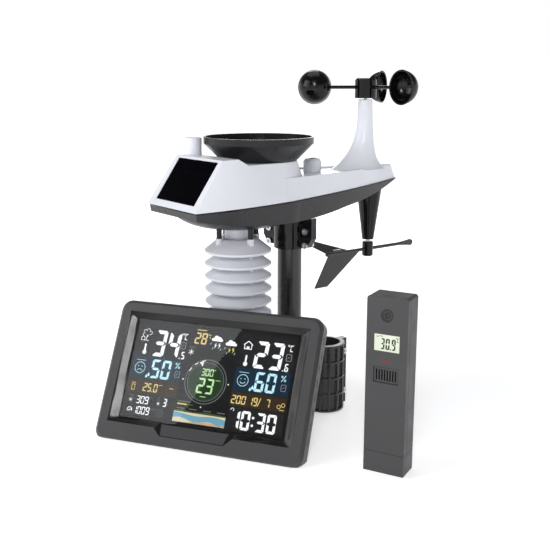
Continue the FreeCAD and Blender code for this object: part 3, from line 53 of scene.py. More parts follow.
# ---------------------------------------------------------------- materials
class Graph:
    """A material's node tree, built one node at a time."""

    def __init__(self, name):
        self.material = bpy.data.materials.new(name)
        self.material.use_nodes = True
        self.tree = self.material.node_tree
        self.shader = self.tree.nodes["Principled BSDF"]
        self.space = self.node("ShaderNodeTexCoord").outputs["Object"]

    def put(self, socket, source):
        """Link a source to a socket, or set the socket to a value."""
        if hasattr(source, "is_linked"):
            self.tree.links.new(source, socket)
        else:
            socket.default_value = source

    def node(self, kind, links=None, **values):
        """Add a node, set its properties, and link its inputs."""
        made = self.tree.nodes.new(kind)
        for key, value in values.items():
            setattr(made, key, value)
        for key, source in (links or {}).items():
            self.put(made.inputs[key], source)
        return made

    def noise(self, size, detail=2.0, roughness=0.5, stretch=None):
        """Cloudy noise whose blobs are about size metres across."""
        space = self.space
        if stretch:
            space = self.node("ShaderNodeMapping", {"Vector": space, "Scale": stretch}).outputs[0]
        links = {"Vector": space, "Scale": 1 / size, "Detail": detail, "Roughness": roughness}
        return self.node("ShaderNodeTexNoise", links).outputs["Fac"]

    def ramp(self, source, low, high, start=0.35, end=0.65):
        """A grey value that goes from low to high as the source goes from start to end."""
        links = {"Value": source, "From Min": start, "From Max": end, "To Min": low, "To Max": high}
        return self.node("ShaderNodeMapRange", links).outputs["Result"]

    def calculate(self, operation, first, second):
        """One sum on two values."""
        return self.node("ShaderNodeMath", {0: first, 1: second}, operation=operation).outputs[0]

    def blend(self, factor, first, second):
        """Two colours mixed by a factor; a Mix node keeps its colours in sockets 6 and 7."""
        made = self.node("ShaderNodeMix", data_type="RGBA")
        for key, source in ((0, factor), (6, first), (7, second)):
            self.put(made.inputs[key], source)
        return made.outputs[2]

    def rounded(self, width):
        """The surface's normal, with edges rounded off to a width in millimetres."""
        return self.node("ShaderNodeBevel", {"Radius": width * MM}, samples=4).outputs[0]

    def bump(self, height, depth, normal):
        """A normal bent by a height that is depth millimetres deep."""
        links = {"Height": height, "Distance": depth * MM, "Strength": 1.0, "Normal": normal}
        return self.node("ShaderNodeBump", links).outputs[0]

    def feed(self, **sources):
        """Link sources to the shader's sockets, or set them."""
        for key, source in sources.items():
            self.put(self.shader.inputs[key.replace("_", " ")], source)


def shade(colour, factor):
    """A colour made lighter or darker."""
    return (*[min(1.0, c * factor) for c in colour[:3]], 1.0)


def moulded(name, colour, rough, grain=0.35, depth=0.012, mottle=0.05, edge=0.5, edge_wear_and_highlight=None, **shader):
    """Moulded plastic: spark-eroded grain, faint flow mottling, and rounded edges that may be painted lighter,
    partly as rubbing and partly as a painted highlight.
    """
    g = Graph(name)
    flow = g.ramp(g.noise(0.045, detail=3.0, roughness=0.6), 0.0, 1.0)
    colours = g.blend(flow, shade(colour, 1 - mottle), shade(colour, 1 + mottle))
    fine = g.noise(grain * MM, detail=3.0, roughness=0.65)
    soft = g.rounded(edge)
    if edge_wear_and_highlight:
        # edges painted lighter where the rounded normal leaves the flat one: partly rubbing, partly a painted
        # highlight
        flat = g.node("ShaderNodeNewGeometry").outputs["Normal"]
        agree = g.node("ShaderNodeVectorMath", {0: soft, 1: flat}, operation="DOT_PRODUCT").outputs["Value"]
        edge_wear_and_highlight_mask = g.ramp(agree, low=0.85, high=0.0, start=0.80, end=0.985)
        colours = g.blend(edge_wear_and_highlight_mask, colours, shade(edge_wear_and_highlight, 1.0))
    blotch = g.ramp(g.noise(0.02), rough - 0.04, rough + 0.05)
    g.feed(Base_Color=colours, Roughness=blotch, Normal=g.bump(fine, depth, soft), **shader)
    return g.material


def brushed(name, colour, rough, stretch):
    """Turned or drawn metal with fine lines along one way."""
    g = Graph(name)
    lines = g.noise(0.4 * MM, roughness=0.6, stretch=stretch)
    colours = g.blend(g.ramp(lines, 0.0, 1.0), shade(colour, 0.86), shade(colour, 1.1))
    g.feed(Base_Color=colours, Roughness=g.ramp(lines, rough - 0.06, rough + 0.08),
           Normal=g.bump(lines, depth=0.006, normal=g.rounded(0.3)), Metallic=1.0)
    return g.material


def solar_glass():
    """Black cells in a fine grid, laid out on the panel's slope."""
    g = Graph("solar_cell")
    low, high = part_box("solar_panel")
    lean = math.atan2(high.z - low.z, high.x - low.x)
    corner = g.node("ShaderNodeMapping", {"Vector": g.space, "Location": tuple(-low)}).outputs[0]
    level = g.node("ShaderNodeMapping", {"Vector": corner, "Rotation": (0, lean, 0)}).outputs[0]
    parts = g.node("ShaderNodeSeparateXYZ", {"Vector": level})

    def stripes(axis, pitch, width):
        cell = g.calculate("PINGPONG", parts.outputs[axis], pitch * MM)
        return g.calculate("LESS_THAN", cell, width * MM)
    grid = g.calculate("MAXIMUM", stripes("Y", 0.9, 0.06), stripes("X", 6.5, 0.16))
    grain = g.ramp(g.noise(3 * MM, detail=4.0, roughness=0.7), 0.0, 1.0)
    cell = g.blend(grain, (0.0004, 0.0004, 0.0008, 1), (0.0015, 0.0015, 0.003, 1))
    g.feed(Base_Color=g.blend(grid, cell, (0.003, 0.003, 0.004, 1)), Roughness=g.ramp(grain, 0.10, 0.22),
           Specular_IOR_Level=0.02)
    return g.material


def clear_glass(name, colour, rough, index):
    """Clear glass with faint smears."""
    g = Graph(name)
    streaks = g.noise(0.03, detail=4.0, roughness=0.7, stretch=(1.0, 1.0, 3.0))
    smear = g.ramp(streaks, rough, rough + 0.03)
    tint = g.blend(g.ramp(g.noise(0.05), 0.0, 1.0), shade(colour, 0.98), shade(colour, 1.0))
    g.feed(Base_Color=tint, Roughness=smear, Transmission_Weight=1.0, IOR=index)
    return g.material


def glowing(name, colour, strength, gloss=0.3):
    """A glowing part with the faint unevenness of a diffuser: the console's backlit display, and a painted glow on
    the thermometer's display and its red mark.
    """
    g = Graph(name)
    uneven = g.ramp(g.noise(0.03, detail=1.0), 0.0, 1.0, start=0.25, end=0.75)
    g.feed(Base_Color=g.blend(uneven, shade(colour, 0.25), shade(colour, 0.3)), Roughness=gloss,
           Emission_Color=g.blend(uneven, shade(colour, 0.93), shade(colour, 1.0)),
           Emission_Strength=strength, Specular_IOR_Level=0.1)
    return g.material


def printed(name, colour, rough):
    """Flat ink or a liquid crystal segment."""
    g = Graph(name)
    speck = g.ramp(g.noise(0.6 * MM, detail=3.0), 0.0, 1.0)
    g.feed(Base_Color=g.blend(speck, shade(colour, 0.88), shade(colour, 1.0)), Roughness=rough,
           Specular_IOR_Level=0.2)
    return g.material


SLOTS = {
    "housing_white": moulded("housing_white", (0.77, 0.785, 0.845), rough=0.34, grain=0.5, depth=0.004,
                             mottle=0.012, edge=0.9, Specular_IOR_Level=0.45, Coat_Weight=0.2,
                             Coat_Roughness=0.25),
    "hull_grey": moulded("hull_grey", (0.030, 0.030, 0.032), rough=0.30, grain=0.8, depth=0.003,
                         mottle=0.04, edge=0.6, Specular_IOR_Level=0.3),
    "gloss_black": moulded("gloss_black", (0.0025, 0.0025, 0.003), rough=0.11, grain=0.6, depth=0.001,
                           mottle=0.06, edge=0.5, Specular_IOR_Level=0.3),
    "funnel_black": moulded("funnel_black", (0.007, 0.007, 0.0075), rough=0.27, grain=0.9, depth=0.002,
                            mottle=0.05, edge=0.7, Specular_IOR_Level=0.38),
    "shield_grey": moulded("shield_grey", (0.68, 0.69, 0.745), rough=0.32, grain=0.5, depth=0.006,
                           mottle=0.02, edge=0.5, Specular_IOR_Level=0.4),
    "fin_grey": moulded("fin_grey", (0.030, 0.030, 0.032), rough=0.34, grain=0.5, depth=0.008, mottle=0.05,
                        edge=0.3, Specular_IOR_Level=0.5),
    "pole_dark": moulded("pole_dark", (0.012, 0.012, 0.013), rough=0.28, grain=0.8, depth=0.002,
                         mottle=0.05, edge=0.4, Specular_IOR_Level=0.6),
    # the bracket's rounded edges are painted light grey: partly rubbing, partly a painted highlight along its ribs
    "bracket_black": moulded("bracket_black", (0.009, 0.009, 0.0095), rough=0.26, grain=0.9, depth=0.003,
                             mottle=0.05, edge=0.8, edge_wear_and_highlight=(0.22, 0.22, 0.22), Specular_IOR_Level=0.55),
    "pad_rubber": moulded("pad_rubber", (0.02, 0.02, 0.02), rough=0.75, grain=0.3, depth=0.03, mottle=0.08,
                          edge=0.3, Specular_IOR_Level=0.3),
    "steel": brushed("steel", (0.62, 0.62, 0.64), rough=0.3, stretch=(1.0, 1.0, 8.0)),
    "solar_cell": solar_glass(),
    "level_glass": moulded("level_glass", (0.006, 0.012, 0.007), rough=0.06, grain=0.6, depth=0.001,
                           mottle=0.1, edge=0.2, Specular_IOR_Level=0.6, Coat_Weight=1.0,
                           Coat_Roughness=0.02),
    "screen_grey": moulded("screen_grey", (0.12, 0.12, 0.125), rough=0.6, grain=1.2, depth=0.2, mottle=0.08,
                           edge=0.2),
    "bucket_black": moulded("bucket_black", (0.03, 0.03, 0.03), rough=0.45, grain=0.4, depth=0.012),
    "board_green": moulded("board_green", (0.02, 0.12, 0.05), rough=0.35, grain=0.9, depth=0.02, mottle=0.15),
    "cell_wrap": brushed("cell_wrap", (0.25, 0.27, 0.30), rough=0.3, stretch=(1.0, 8.0, 1.0)),
    "console_case": moulded("console_case", (0.049, 0.049, 0.051), rough=0.42, grain=0.28, depth=0.015,
                            mottle=0.04, edge=0.8, Specular_IOR_Level=0.42),
    "console_glass": clear_glass("console_glass", (1.0, 1.0, 1.0, 1), rough=0.0, index=1.36),
    "display": printed("display", (0.004, 0.004, 0.0045), rough=0.3),
    "key_grey": moulded("key_grey", (0.043, 0.043, 0.045), rough=0.45, grain=0.28, depth=0.015, mottle=0.04,
                        edge=0.4, Specular_IOR_Level=0.42),
    "foot_rubber": moulded("foot_rubber", (0.015, 0.015, 0.015), rough=0.8, grain=0.3, depth=0.03,
                           mottle=0.08, edge=0.3),
    "jack_black": moulded("jack_black", (0.01, 0.01, 0.01), rough=0.35, grain=0.4, depth=0.006),
    "remote_case": moulded("remote_case", (0.054, 0.054, 0.056), rough=0.44, grain=0.28, depth=0.018,
                           mottle=0.03, edge=0.6, Specular_IOR_Level=0.35),
    # the thermometer's display is given a painted glow, as it has no backlight
    "remote_display": glowing("remote_display", (0.80, 0.86, 0.70, 1), strength=0.75, gloss=0.25),
}
for node, slot in SLOT_OF.items():
    mesh = NODES[node].data
    mesh.materials.clear()
    mesh.materials.append(SLOTS[slot])


# ---------------------------------------------------------------- shared mesh helpers
def new_piece(name, bm, body, slot, material=None, smooth=35):
    """Turn a bmesh into a piece that rides on a body and takes a slot's finish."""
    mesh = bpy.data.meshes.new(name)
    bm.normal_update()
    bm.to_mesh(mesh)
    bm.free()
    piece = bpy.data.objects.new(name, mesh)
    bpy.context.scene.collection.objects.link(piece)
    mesh.materials.append(material or SLOTS[slot])
    if smooth:
        mesh.shade_smooth()
        mesh.set_sharp_from_angle(angle=math.radians(smooth))
    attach(piece, body)
    return piece


def skin_of(node, keep):
    """A copy of a CAD node's faces that pass a test, as a bmesh."""
    bm = bmesh.new()
    bm.from_mesh(NODES[node].data)
    bmesh.ops.remove_doubles(bm, verts=bm.verts, dist=MERGE_GAP)
    bm.normal_update()
    bmesh.ops.delete(bm, geom=[f for f in bm.faces if not keep(f)], context="FACES")
    return bm


def plated(name, bm, proud, body, slot, material=None, smooth=35):
    """Turn loose faces into a closed film that stands a little proud of what it lies on."""
    bm.normal_update()
    inner = {v: v.co - v.normal * proud * MM for v in bm.verts}
    outer = {v: v.co + v.normal * proud * MM for v in bm.verts}
    under = {v: bm.verts.new(place) for v, place in inner.items()}
    for v, place in outer.items():
        v.co = place
    for face in list(bm.faces):
        bm.faces.new([under[v] for v in reversed(face.verts)])
    for edge in [e for e in bm.edges if e.is_boundary and e.verts[0] in under and e.verts[1] in under]:
        loop = edge.link_loops[0]
        a, b = loop.vert, loop.link_loop_next.vert
        bm.faces.new((b, a, under[a], under[b]))
    bmesh.ops.recalc_face_normals(bm, faces=bm.faces)
    return new_piece(name, bm, body, slot, material, smooth)


# the white housing's edge climbs this much for each unit of length towards the anemometer, and the
# painted shadow under it has its top and its foot this many millimetres below that edge
SEAM_RISE = 0.0342
SEAM_SHADOW_TOP, SEAM_SHADOW_FOOT = 0.12, 1.9
# the hull's sides run straight this far from its middle, and round off beyond
HULL_STRAIGHT = 120


def hull_seam_shadow():
    """A black band painted round the hull as the shadow just under the white housing's rising edge."""
    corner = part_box("upper_housing")[0]
    tilt = Vector((-SEAM_RISE, 0, 1)).normalized()
    low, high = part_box("lower_housing")
    middle = (low + high) / 2

    def outside(face):
        """Whether a face is on the hull's outer side: its ends look along the hull, the rest across it."""
        place = face.calc_center_median()
        below = (place - corner).dot(tilt)
        if abs(face.normal.z) > 0.9 or not -30 * MM < below < 4 * MM:
            return False
        along = place.x - middle.x
        away = Vector((along if abs(along) > HULL_STRAIGHT * MM else 0.0, place.y - middle.y))
        return face.normal.xy.dot(away) > 0
    bm = skin_of("lower_housing", outside)
    for drop, upper in ((SEAM_SHADOW_TOP, True), (SEAM_SHADOW_FOOT, False)):
        bmesh.ops.bisect_plane(bm, geom=[*bm.verts, *bm.edges, *bm.faces], plane_co=corner - tilt * drop * MM,
                               plane_no=tilt, clear_outer=upper, clear_inner=not upper)
    # a thin glossy black film: painted shadow under the white housing's edge
    plated("hull_seam_shadow", bm, 0.05, "array", "gloss_black")


hull_seam_shadow()


# ---------------------------------------------------------------- flat ink on a face
SEGMENTS = {"0": "abcdef", "1": "bc", "2": "abged", "3": "abgcd", "4": "fgbc", "5": "afgcd",
            "6": "afgedc", "7": "abc", "8": "abcdefg", "9": "abcdfg", "C": "adef"}


def polar(x, y, radius, degrees):
    """A point on a circle about x, y."""
    turn = math.radians(degrees)
    return x + radius * math.cos(turn), y + radius * math.sin(turn)


class Ink:
    """Flat shapes of one colour, in millimetres on a face, made into one thin mesh."""

    def __init__(self):
        self.shapes = []

    def poly(self, points):
        """A filled outline."""
        self.shapes.append([tuple(p) for p in points])

    def bar(self, start, end, width):
        """A straight stroke."""
        along = Vector(end) - Vector(start)
        side = Vector((-along.y, along.x)).normalized() * width / 2
        a, b = Vector(start), Vector(end)
        self.poly([a + side, a - side, b - side, b + side])

    def strokes(self, x, y, width, ends):
        """Straight strokes whose ends are given from x, y."""
        for (x0, y0), (x1, y1) in ends:
            self.bar((x + x0, y + y0), (x + x1, y + y1), width)

    def box(self, x0, y0, x1, y1):
        """An upright rectangle between two corners."""
        self.poly([(x0, y0), (x1, y0), (x1, y1), (x0, y1)])

    def disc(self, x, y, radius, steps=28):
        """A filled circle."""
        self.poly([polar(x, y, radius, 360 * k / steps) for k in range(steps)])

    def ring(self, x, y, radius, width, start=0.0, end=360.0, steps=48):
        """A circle's line, or an arc of it; the radius is the line's outer one."""
        for k in range(steps):
            a, b = (start + (end - start) * j / steps for j in (k, k + 1))
            self.poly([polar(x, y, r, t) for r, t in (
                (radius, a), (radius, b), (radius - width, b), (radius - width, a))])

    def digit(self, mark, x, y, height, width, thick, lean):
        """One seven-segment figure, its strokes mitred where they meet, with its lower left at x, y."""
        half, gap, cut = height / 2, thick * 0.09, thick * 0.22
        shoulder = half + thick / 2
        tip, end = thick * 0.35 + gap, thick * 0.85 + gap
        upright = [(0, half + gap), (thick / 2, shoulder + gap), (thick, shoulder + gap),
                   (thick, height - thick - gap), (cut, height - cut - gap), (0, height - cut * 2 - gap)]
        level = [(cut + gap, height - cut), (cut * 2 + gap, height), (width - cut * 2 - gap, height),
                 (width - cut - gap, height - cut), (width - thick - gap, height - thick),
                 (thick + gap, height - thick)]
        middle = [(tip, half), (end, shoulder), (width - end, shoulder), (width - tip, half),
                  (width - end, half - thick / 2), (end, half - thick / 2)]
        shapes = {"a": level,
                  "b": [(width - px, py) for px, py in upright],
                  "c": [(width - px, height - py) for px, py in upright],
                  "d": [(px, height - py) for px, py in level],
                  "e": [(px, height - py) for px, py in upright],
                  "f": upright,
                  "g": middle}
        for name in SEGMENTS[mark]:
            self.poly([(x + px + py * lean, y + py) for px, py in shapes[name]])

    def figures(self, text, x, y, height, weight=0.16, aspect=0.5, lean=0.05):
        """A row of seven-segment figures; returns where it ends."""
        width, thick = height * aspect, height * weight
        for mark in text:
            if mark == ".":
                self.box(x - thick * 0.1, y, x + thick * 0.8, y + thick * 0.9)
                x += thick * 1.5
            elif mark == ":":
                for level in (0.3, 0.7):
                    self.disc(x + thick * 0.4 + height * level * lean, y + height * level, thick * 0.5, 12)
                x += thick * 1.7
            elif mark == "/":
                self.bar((x, y), (x + width * 0.6, y + height), thick * 0.8)
                x += width * 0.9
            elif mark == "1":
                self.digit(mark, x - width + thick, y, height, width, thick, lean)
                x += thick * 1.6
            else:
                self.digit(mark, x, y, height, width, thick, lean)
                x += width + thick * 0.75
        return x

    def celsius(self, x, y, height):
        """A small degree ring and a C."""
        self.ring(x + height * 0.15, y + height * 0.86, height * 0.15, height * 0.08, steps=14)
        self.digit("C", x + height * 0.38, y, height * 0.95, height * 0.5, height * 0.13, 0.04)

    def percent(self, x, y, height):
        """A slanted stroke between two small rings."""
        self.bar((x + height * 0.1, y), (x + height * 0.75, y + height), height * 0.12)
        for across, up in ((0.18, 0.78), (0.7, 0.22)):
            self.ring(x + height * across, y + height * up, height * 0.18, height * 0.1, steps=16)

    def thermometer(self, x, y, height):
        """A bulb with a rounded stem."""
        self.disc(x, y + height * 0.2, height * 0.2, 20)
        self.bar((x, y + height * 0.2), (x, y + height * 0.92), height * 0.17)
        self.disc(x, y + height * 0.92, height * 0.085, 14)

    def face(self, x, y, radius, smile):
        """A comfort sign: a round face with two eyes and a mouth."""
        self.ring(x, y, radius, radius * 0.09)
        for side in (-0.35, 0.35):
            self.disc(x + radius * side, y + radius * 0.25, radius * 0.09, 10)
        start, end, centre = (205, 335, y) if smile else (25, 155, y - radius * 0.75)
        self.ring(x, centre, radius * 0.55, radius * 0.09, start, end, 14)

    def drop(self, x, y, height):
        """A drop with its point up."""
        radius = height * 0.3
        self.poly([*(polar(x, y + radius, radius, t) for t in range(150, 391, 20)), (x, y + height)])

    def cloud(self, x, y, width):
        """Four puffs on a flat base."""
        self.box(x - width * 0.38, y, x + width * 0.38, y + width * 0.2)
        puffs = ((-0.36, 0.12, 0.13), (-0.1, 0.26, 0.2), (0.18, 0.2, 0.17), (0.38, 0.1, 0.11))
        for across, up, radius in puffs:
            self.disc(x + width * across, y + width * up, width * radius, 20)

    def sun(self, x, y, radius):
        """A disc with eight short rays."""
        self.disc(x, y, radius * 0.55, 16)
        for k in range(8):
            self.bar(polar(x, y, radius * 0.8, 45 * k), polar(x, y, radius * 1.15, 45 * k), radius * 0.16)

    def trend(self, x, y, size):
        """A rounded frame with a small slanted stroke."""
        for k in range(4):
            quarter = math.radians(90 * k + 45)
            across, up = math.cos(quarter) * size * 0.42, math.sin(quarter) * size * 0.6
            self.ring(x + across, y + up, size * 0.2, size * 0.1, 90 * k, 90 * k + 90, 6)
        for side in (-1, 1):
            edge, flank = side * size * 0.575, side * size * 0.45
            self.strokes(x, y, size * 0.1, [((-size * 0.3, edge), (size * 0.3, edge)),
                                            ((flank, -size * 0.42), (flank, size * 0.42))])
        self.bar((x - size * 0.22, y - size * 0.1), (x + size * 0.2, y + size * 0.14), size * 0.09)

    def make(self, name, face, level, thick, body, slot, material=None):
        """Press the shapes into one thin mesh at a level above the face's plane."""
        bm = bmesh.new()
        for points in self.shapes:
            bottom = [bm.verts.new(face @ Vector((x * MM, y * MM, level * MM))) for x, y in points]
            top = [bm.verts.new(face @ Vector((x * MM, y * MM, (level + thick) * MM))) for x, y in points]
            bm.faces.new(top)
            bm.faces.new(bottom[::-1])
            for k in range(len(points)):
                bm.faces.new((bottom[k - 1], bottom[k], top[k], top[k - 1]))
        bmesh.ops.recalc_face_normals(bm, faces=bm.faces)
        return new_piece(name, bm, body, slot, material, smooth=0)


def face_frame(across, out, origin):
    """A face's own frame: across, up the face, and out of it."""
    across, out = Vector(across).normalized(), Vector(out).normalized()
    turn = Matrix((across, out.cross(across), out)).transposed().to_4x4()
    return Matrix.Translation(origin) @ turn


# the kickstand's hinge is this far above the console's lower edge and behind its front
HINGE_UP, HINGE_BEHIND = 92, 27.2
# the thermometer's front is this far before the middle of its base
REMOTE_FRONT = 13

stand = JOINTS["kickstand_fold"]
console_out = -Vector(JOINTS["snooze_press"]["axis"])
console_up = console_out.cross(Vector(stand["axis"]))
CONSOLE = face_frame(stand["axis"], console_out, Vector(stand["pos_m"]) - console_up * HINGE_UP * MM
                     + console_out * HINGE_BEHIND * MM)
remote_out = Vector(JOINTS["remote_slide"]["axis"])
REMOTE = face_frame(Vector((0, 0, 1)).cross(remote_out), remote_out,
                    Vector(MOUNTS["remote_base"]["pos_m"]) + remote_out * REMOTE_FRONT * MM)

# the display's backlights, each by its name, colour and strength
LIT = {name: glowing("lit_" + name, colour, strength) for name, colour, strength in (
    ("white", (0.95, 0.96, 0.98, 1), 1.0),
    ("amber", (0.82, 0.66, 0.26, 1), 0.85),
    ("ice", (0.52, 0.82, 0.92, 1), 0.95),
    ("lime", (0.56, 0.88, 0.42, 1), 0.85),
    ("grey", (0.15, 0.16, 0.165, 1), 0.8),
    ("dim", (0.30, 0.32, 0.34, 1), 0.8),
    ("charcoal", (0.013, 0.013, 0.014, 1), 0.9),
    ("navy", (0.006, 0.024, 0.048, 1), 0.85),
    ("umber", (0.036, 0.022, 0.009, 1), 0.85),
    ("moss", (0.014, 0.034, 0.014, 1), 0.95),
    ("cream", (0.72, 0.62, 0.44, 1), 0.9),
    ("sky", (0.16, 0.38, 0.50, 1), 0.9),
    ("sand", (0.62, 0.42, 0.24, 1), 0.85),
    ("leaf", (0.05, 0.10, 0.02, 1), 0.9),
    ("yellow", (0.75, 0.65, 0.10, 1), 0.9))}


# ---------------------------------------------------------------- the console's colour display
# the lit area's edges in millimetres, and each side column's start and end as shares of its width
LEFT, RIGHT, LOW, HIGH = -94.0, 91.5, 31.0, 134.5
OUTDOOR, INDOOR = (0.0, 0.326), (0.662, 1.0)
# each band's colour, and its top and foot as shares of the height
BANDS = (("charcoal", 0.0, 0.357), ("navy", 0.363, 0.607), ("umber", 0.613, 0.762),
         ("charcoal", 0.768, 1.0))
# the inks lie in three layers under the glass
GROUND_LEVEL, PICTURE_LEVEL, FIGURE_LEVEL = -6.78, -6.75, -6.72
LEVELS = {**dict.fromkeys(("charcoal", "navy", "umber", "moss", "cream"), GROUND_LEVEL),
          **dict.fromkeys(("leaf", "sky", "sand"), PICTURE_LEVEL)}


def at(across, down):
    """A point of the display, given as shares of its width and, from its top, of its height."""
    return LEFT + (RIGHT - LEFT) * across, HIGH - (HIGH - LOW) * down


def reading_bands(ink):
    """The coloured grounds behind both side columns."""
    for start, end in (OUTDOOR, INDOOR):
        for colour, top, foot in BANDS:
            ink[colour].box(*at(start, foot), *at(end, top))


def tree(pen, x, y):
    """The outdoor sign: a tree's crown, trunk and twig beside a small hut."""
    for angle, reach, start in ((20, 3.6, -110), (80, 3.8, -50), (140, 4.0, 10), (200, 3.8, 80)):
        pen.ring(*polar(x + 1.4, y + 8.4, reach, angle), 2.2, 0.5, start, start + 200, 12)
    pen.strokes(x, y, 0.6, [((1.2, 1.4), (1.2, 7.4))])
    pen.strokes(x, y, 0.5, [((1.2, 4.6), (3.2, 6.6)), ((-5.2, 0.8), (4.6, 0.8)),
                            ((-5.6, 3.4), (-3.0, 5.4)), ((-3.0, 5.4), (-0.4, 3.4)),
                            ((-5.0, 3.6), (-5.0, 0.8)), ((-1.0, 3.6), (-1.0, 0.8))])


def house(pen, x, y):
    """The indoor sign: a roof, walls and a door."""
    pen.strokes(x, y, 0.9, [((-5.2, 8.2), (0, 12.4)), ((0, 12.4), (5.2, 8.2))])
    pen.strokes(x, y, 0.8, [((-4, 8.4), (-4, 3.6)), ((4, 8.4), (4, 3.6)), ((-4.4, 3.8), (4.4, 3.8))])
    pen.box(x - 1.6, y + 3.6, x + 1.6, y + 6.6)


def climate(ink, start, bulb, first, temperature, tenth, humidity, smile):
    """One side column's temperature and humidity; bulb and first place its thermometer and first figure."""
    x, y = at(start + bulb, 0.343)
    ink["white"].thermometer(x, y, 12.0)
    x, y = at(start + first, 0.352)
    end = ink["white"].figures(temperature, x, y, 29.5, 0.14, 0.48)
    ink["white"].figures(tenth, end - 0.8, y, 8.4)
    ink["white"].celsius(at(start + 0.292, 0)[0], y + 21.5, 7.4)
    ink["dim"].trend(at(start + 0.308, 0)[0], y + 15.0, 6.2)
    x, y = at(start + 0.056, 0.492)
    ink["ice"].face(x, y, 6.4, smile)
    ink["ice"].bar((x - 5.6, y + 8.6), (x + 5.6, y + 8.6), 0.5)
    x, y = at(start + 0.108, 0.592)
    ink["ice"].drop(x, y, 4.2)
    ink["ice"].drop(x + 2.4, y + 1.9, 4.6)
    x, y = at(start + 0.128, 0.59)
    ink["ice"].figures(humidity, x, y, 21.0, 0.135)
    ink["ice"].percent(at(start + 0.282, 0)[0], y + 13.6, 6.8)
    ink["dim"].trend(at(start + 0.305, 0)[0], y + 7.2, 5.8)


def rain_reading(ink):
    """The rain gauge's sign, its amount and two short lines of small print."""
    pen = ink["amber"]
    x, y = at(0.036, 0.735)
    pen.strokes(x, y, 0.6, [((-2, 8), (3, 8)), ((-1.4, 0), (2.2, 0)), ((-1.4, 6), (2.2, 6))])
    pen.strokes(x, y, 0.55, [((-1.4, 0), (-1.4, 6)), ((2.2, 0), (2.2, 6))])
    x, y = at(0.102, 0.737)
    end = pen.figures("25.0", x, y, 9.2, 0.13)
    pen.strokes(end, y, 0.6, [((0.6, 8.4), (4.4, 8.4))])
    pen.strokes(end, y, 0.7, [((13.5, 6.2), (18.5, 6.2))])


def light_and_pressure(ink):
    """The outdoor column's last two rows: light, its index, and air pressure with a dial and a gauge."""
    white, grey = ink["white"], ink["grey"]
    x, y = at(0.076, 0.872)
    end = white.figures("309", x, y, 8.4, 0.12, 0.52)
    grey.strokes(end, y, 0.8, [((0.6, 7.6), (4.6, 7.6))])
    white.sun(x - 6.8, y + 3.2, 2.1)
    grey.strokes(x, y, 0.8, [((-10, 8.0), (-4, 8.0))])
    white.sun(end + 11.6, y + 2.6, 1.9)
    grey.ring(end + 11.6, y + 7.6, 1.5, 0.5, steps=14)
    white.figures("3", end + 17.0, y, 8.8)
    x, y = at(0.086, 0.982)
    end = white.figures("1009", x, y, 8.4, 0.12, 0.52)
    grey.strokes(end, y, 0.8, [((1.2, 7.0), (7.4, 7.0))])
    grey.ring(end + 12.0, y + 4.0, 3.9, 0.6)
    grey.strokes(end, y, 0.6, [((12.0, 4.0), (14.4, 6.6))])
    white.ring(x - 7.5, y + 3.6, 3.2, 0.8, -30, 200, 18)
    white.strokes(x, y, 0.9, [((-9.5, 2.2), (-5.0, 4.6))])


def date_and_time(ink):
    """The indoor column's last two rows."""
    amber, white = ink["amber"], ink["white"]
    x, y = at(0.672, 0.737)
    end = amber.figures("200", x - 0.6, y, 8.9, 0.13, 0.54)
    end = amber.figures("19/", end + 6.0, y, 8.9, 0.13)
    amber.figures("7", end + 4.6, y, 8.9, 0.13)
    for across, up in ((19.5, 2.6), (24.0, 4.6)):
        amber.ring(end + across, y + up, 2.2, 0.6, steps=16)
    amber.strokes(end, y, 0.7, [((20.5, -0.6), (25.5, -0.6))])
    x, y = at(0.728, 0.992)
    white.figures("10:30", x - 0.6, y, 20.0, 0.14, lean=0.0)
    white.ring(*at(0.688, 0.80), 2.0, 0.6, -60, 200, 14)


def outlook(ink):
    """The middle column's top: another temperature, a frost sign and two rain clouds, one with lightning."""
    x, y = at(0.372, 0.168)
    ink["amber"].figures("28", x, y, 12.6, 0.135, 0.52)
    ink["amber"].celsius(x + 15.5, y + 7.2, 4.6)
    ink["amber"].strokes(x, y, 0.9, [((1.5, 15.6), (12.5, 15.6))])
    x, y = at(0.366, 0.262)
    for k in range(3):
        ink["white"].bar(polar(x, y, -3.4, 60 * k + 30), polar(x, y, 3.4, 60 * k + 30), 0.6)
    ink["grey"].strokes(x, y, 0.8, [((-3.4, 5.6), (3.6, 5.6))])
    for across, down, bolt in ((0.517, 0.118, "white"), (0.608, 0.150, "yellow")):
        x, y = at(across, down)
        ink["white"].cloud(x, y, 13.4)
        for k in range(5):
            left, top = -6.4 + 3.1 * k, -2.2 - 2.6 * ((k * 2) % 3)
            ink["ice"].strokes(x, y, 0.55, [((left, top), (left - 0.8, top - 2.0))])
        for shift in (-1.6, 3.0):
            ink[bolt].poly([(x + shift + px, y + py) for px, py in (
                (1.2, -1.6), (-0.9, -5.0), (0.3, -5.0), (-0.6, -8.4), (2.0, -4.2), (0.7, -4.2))])


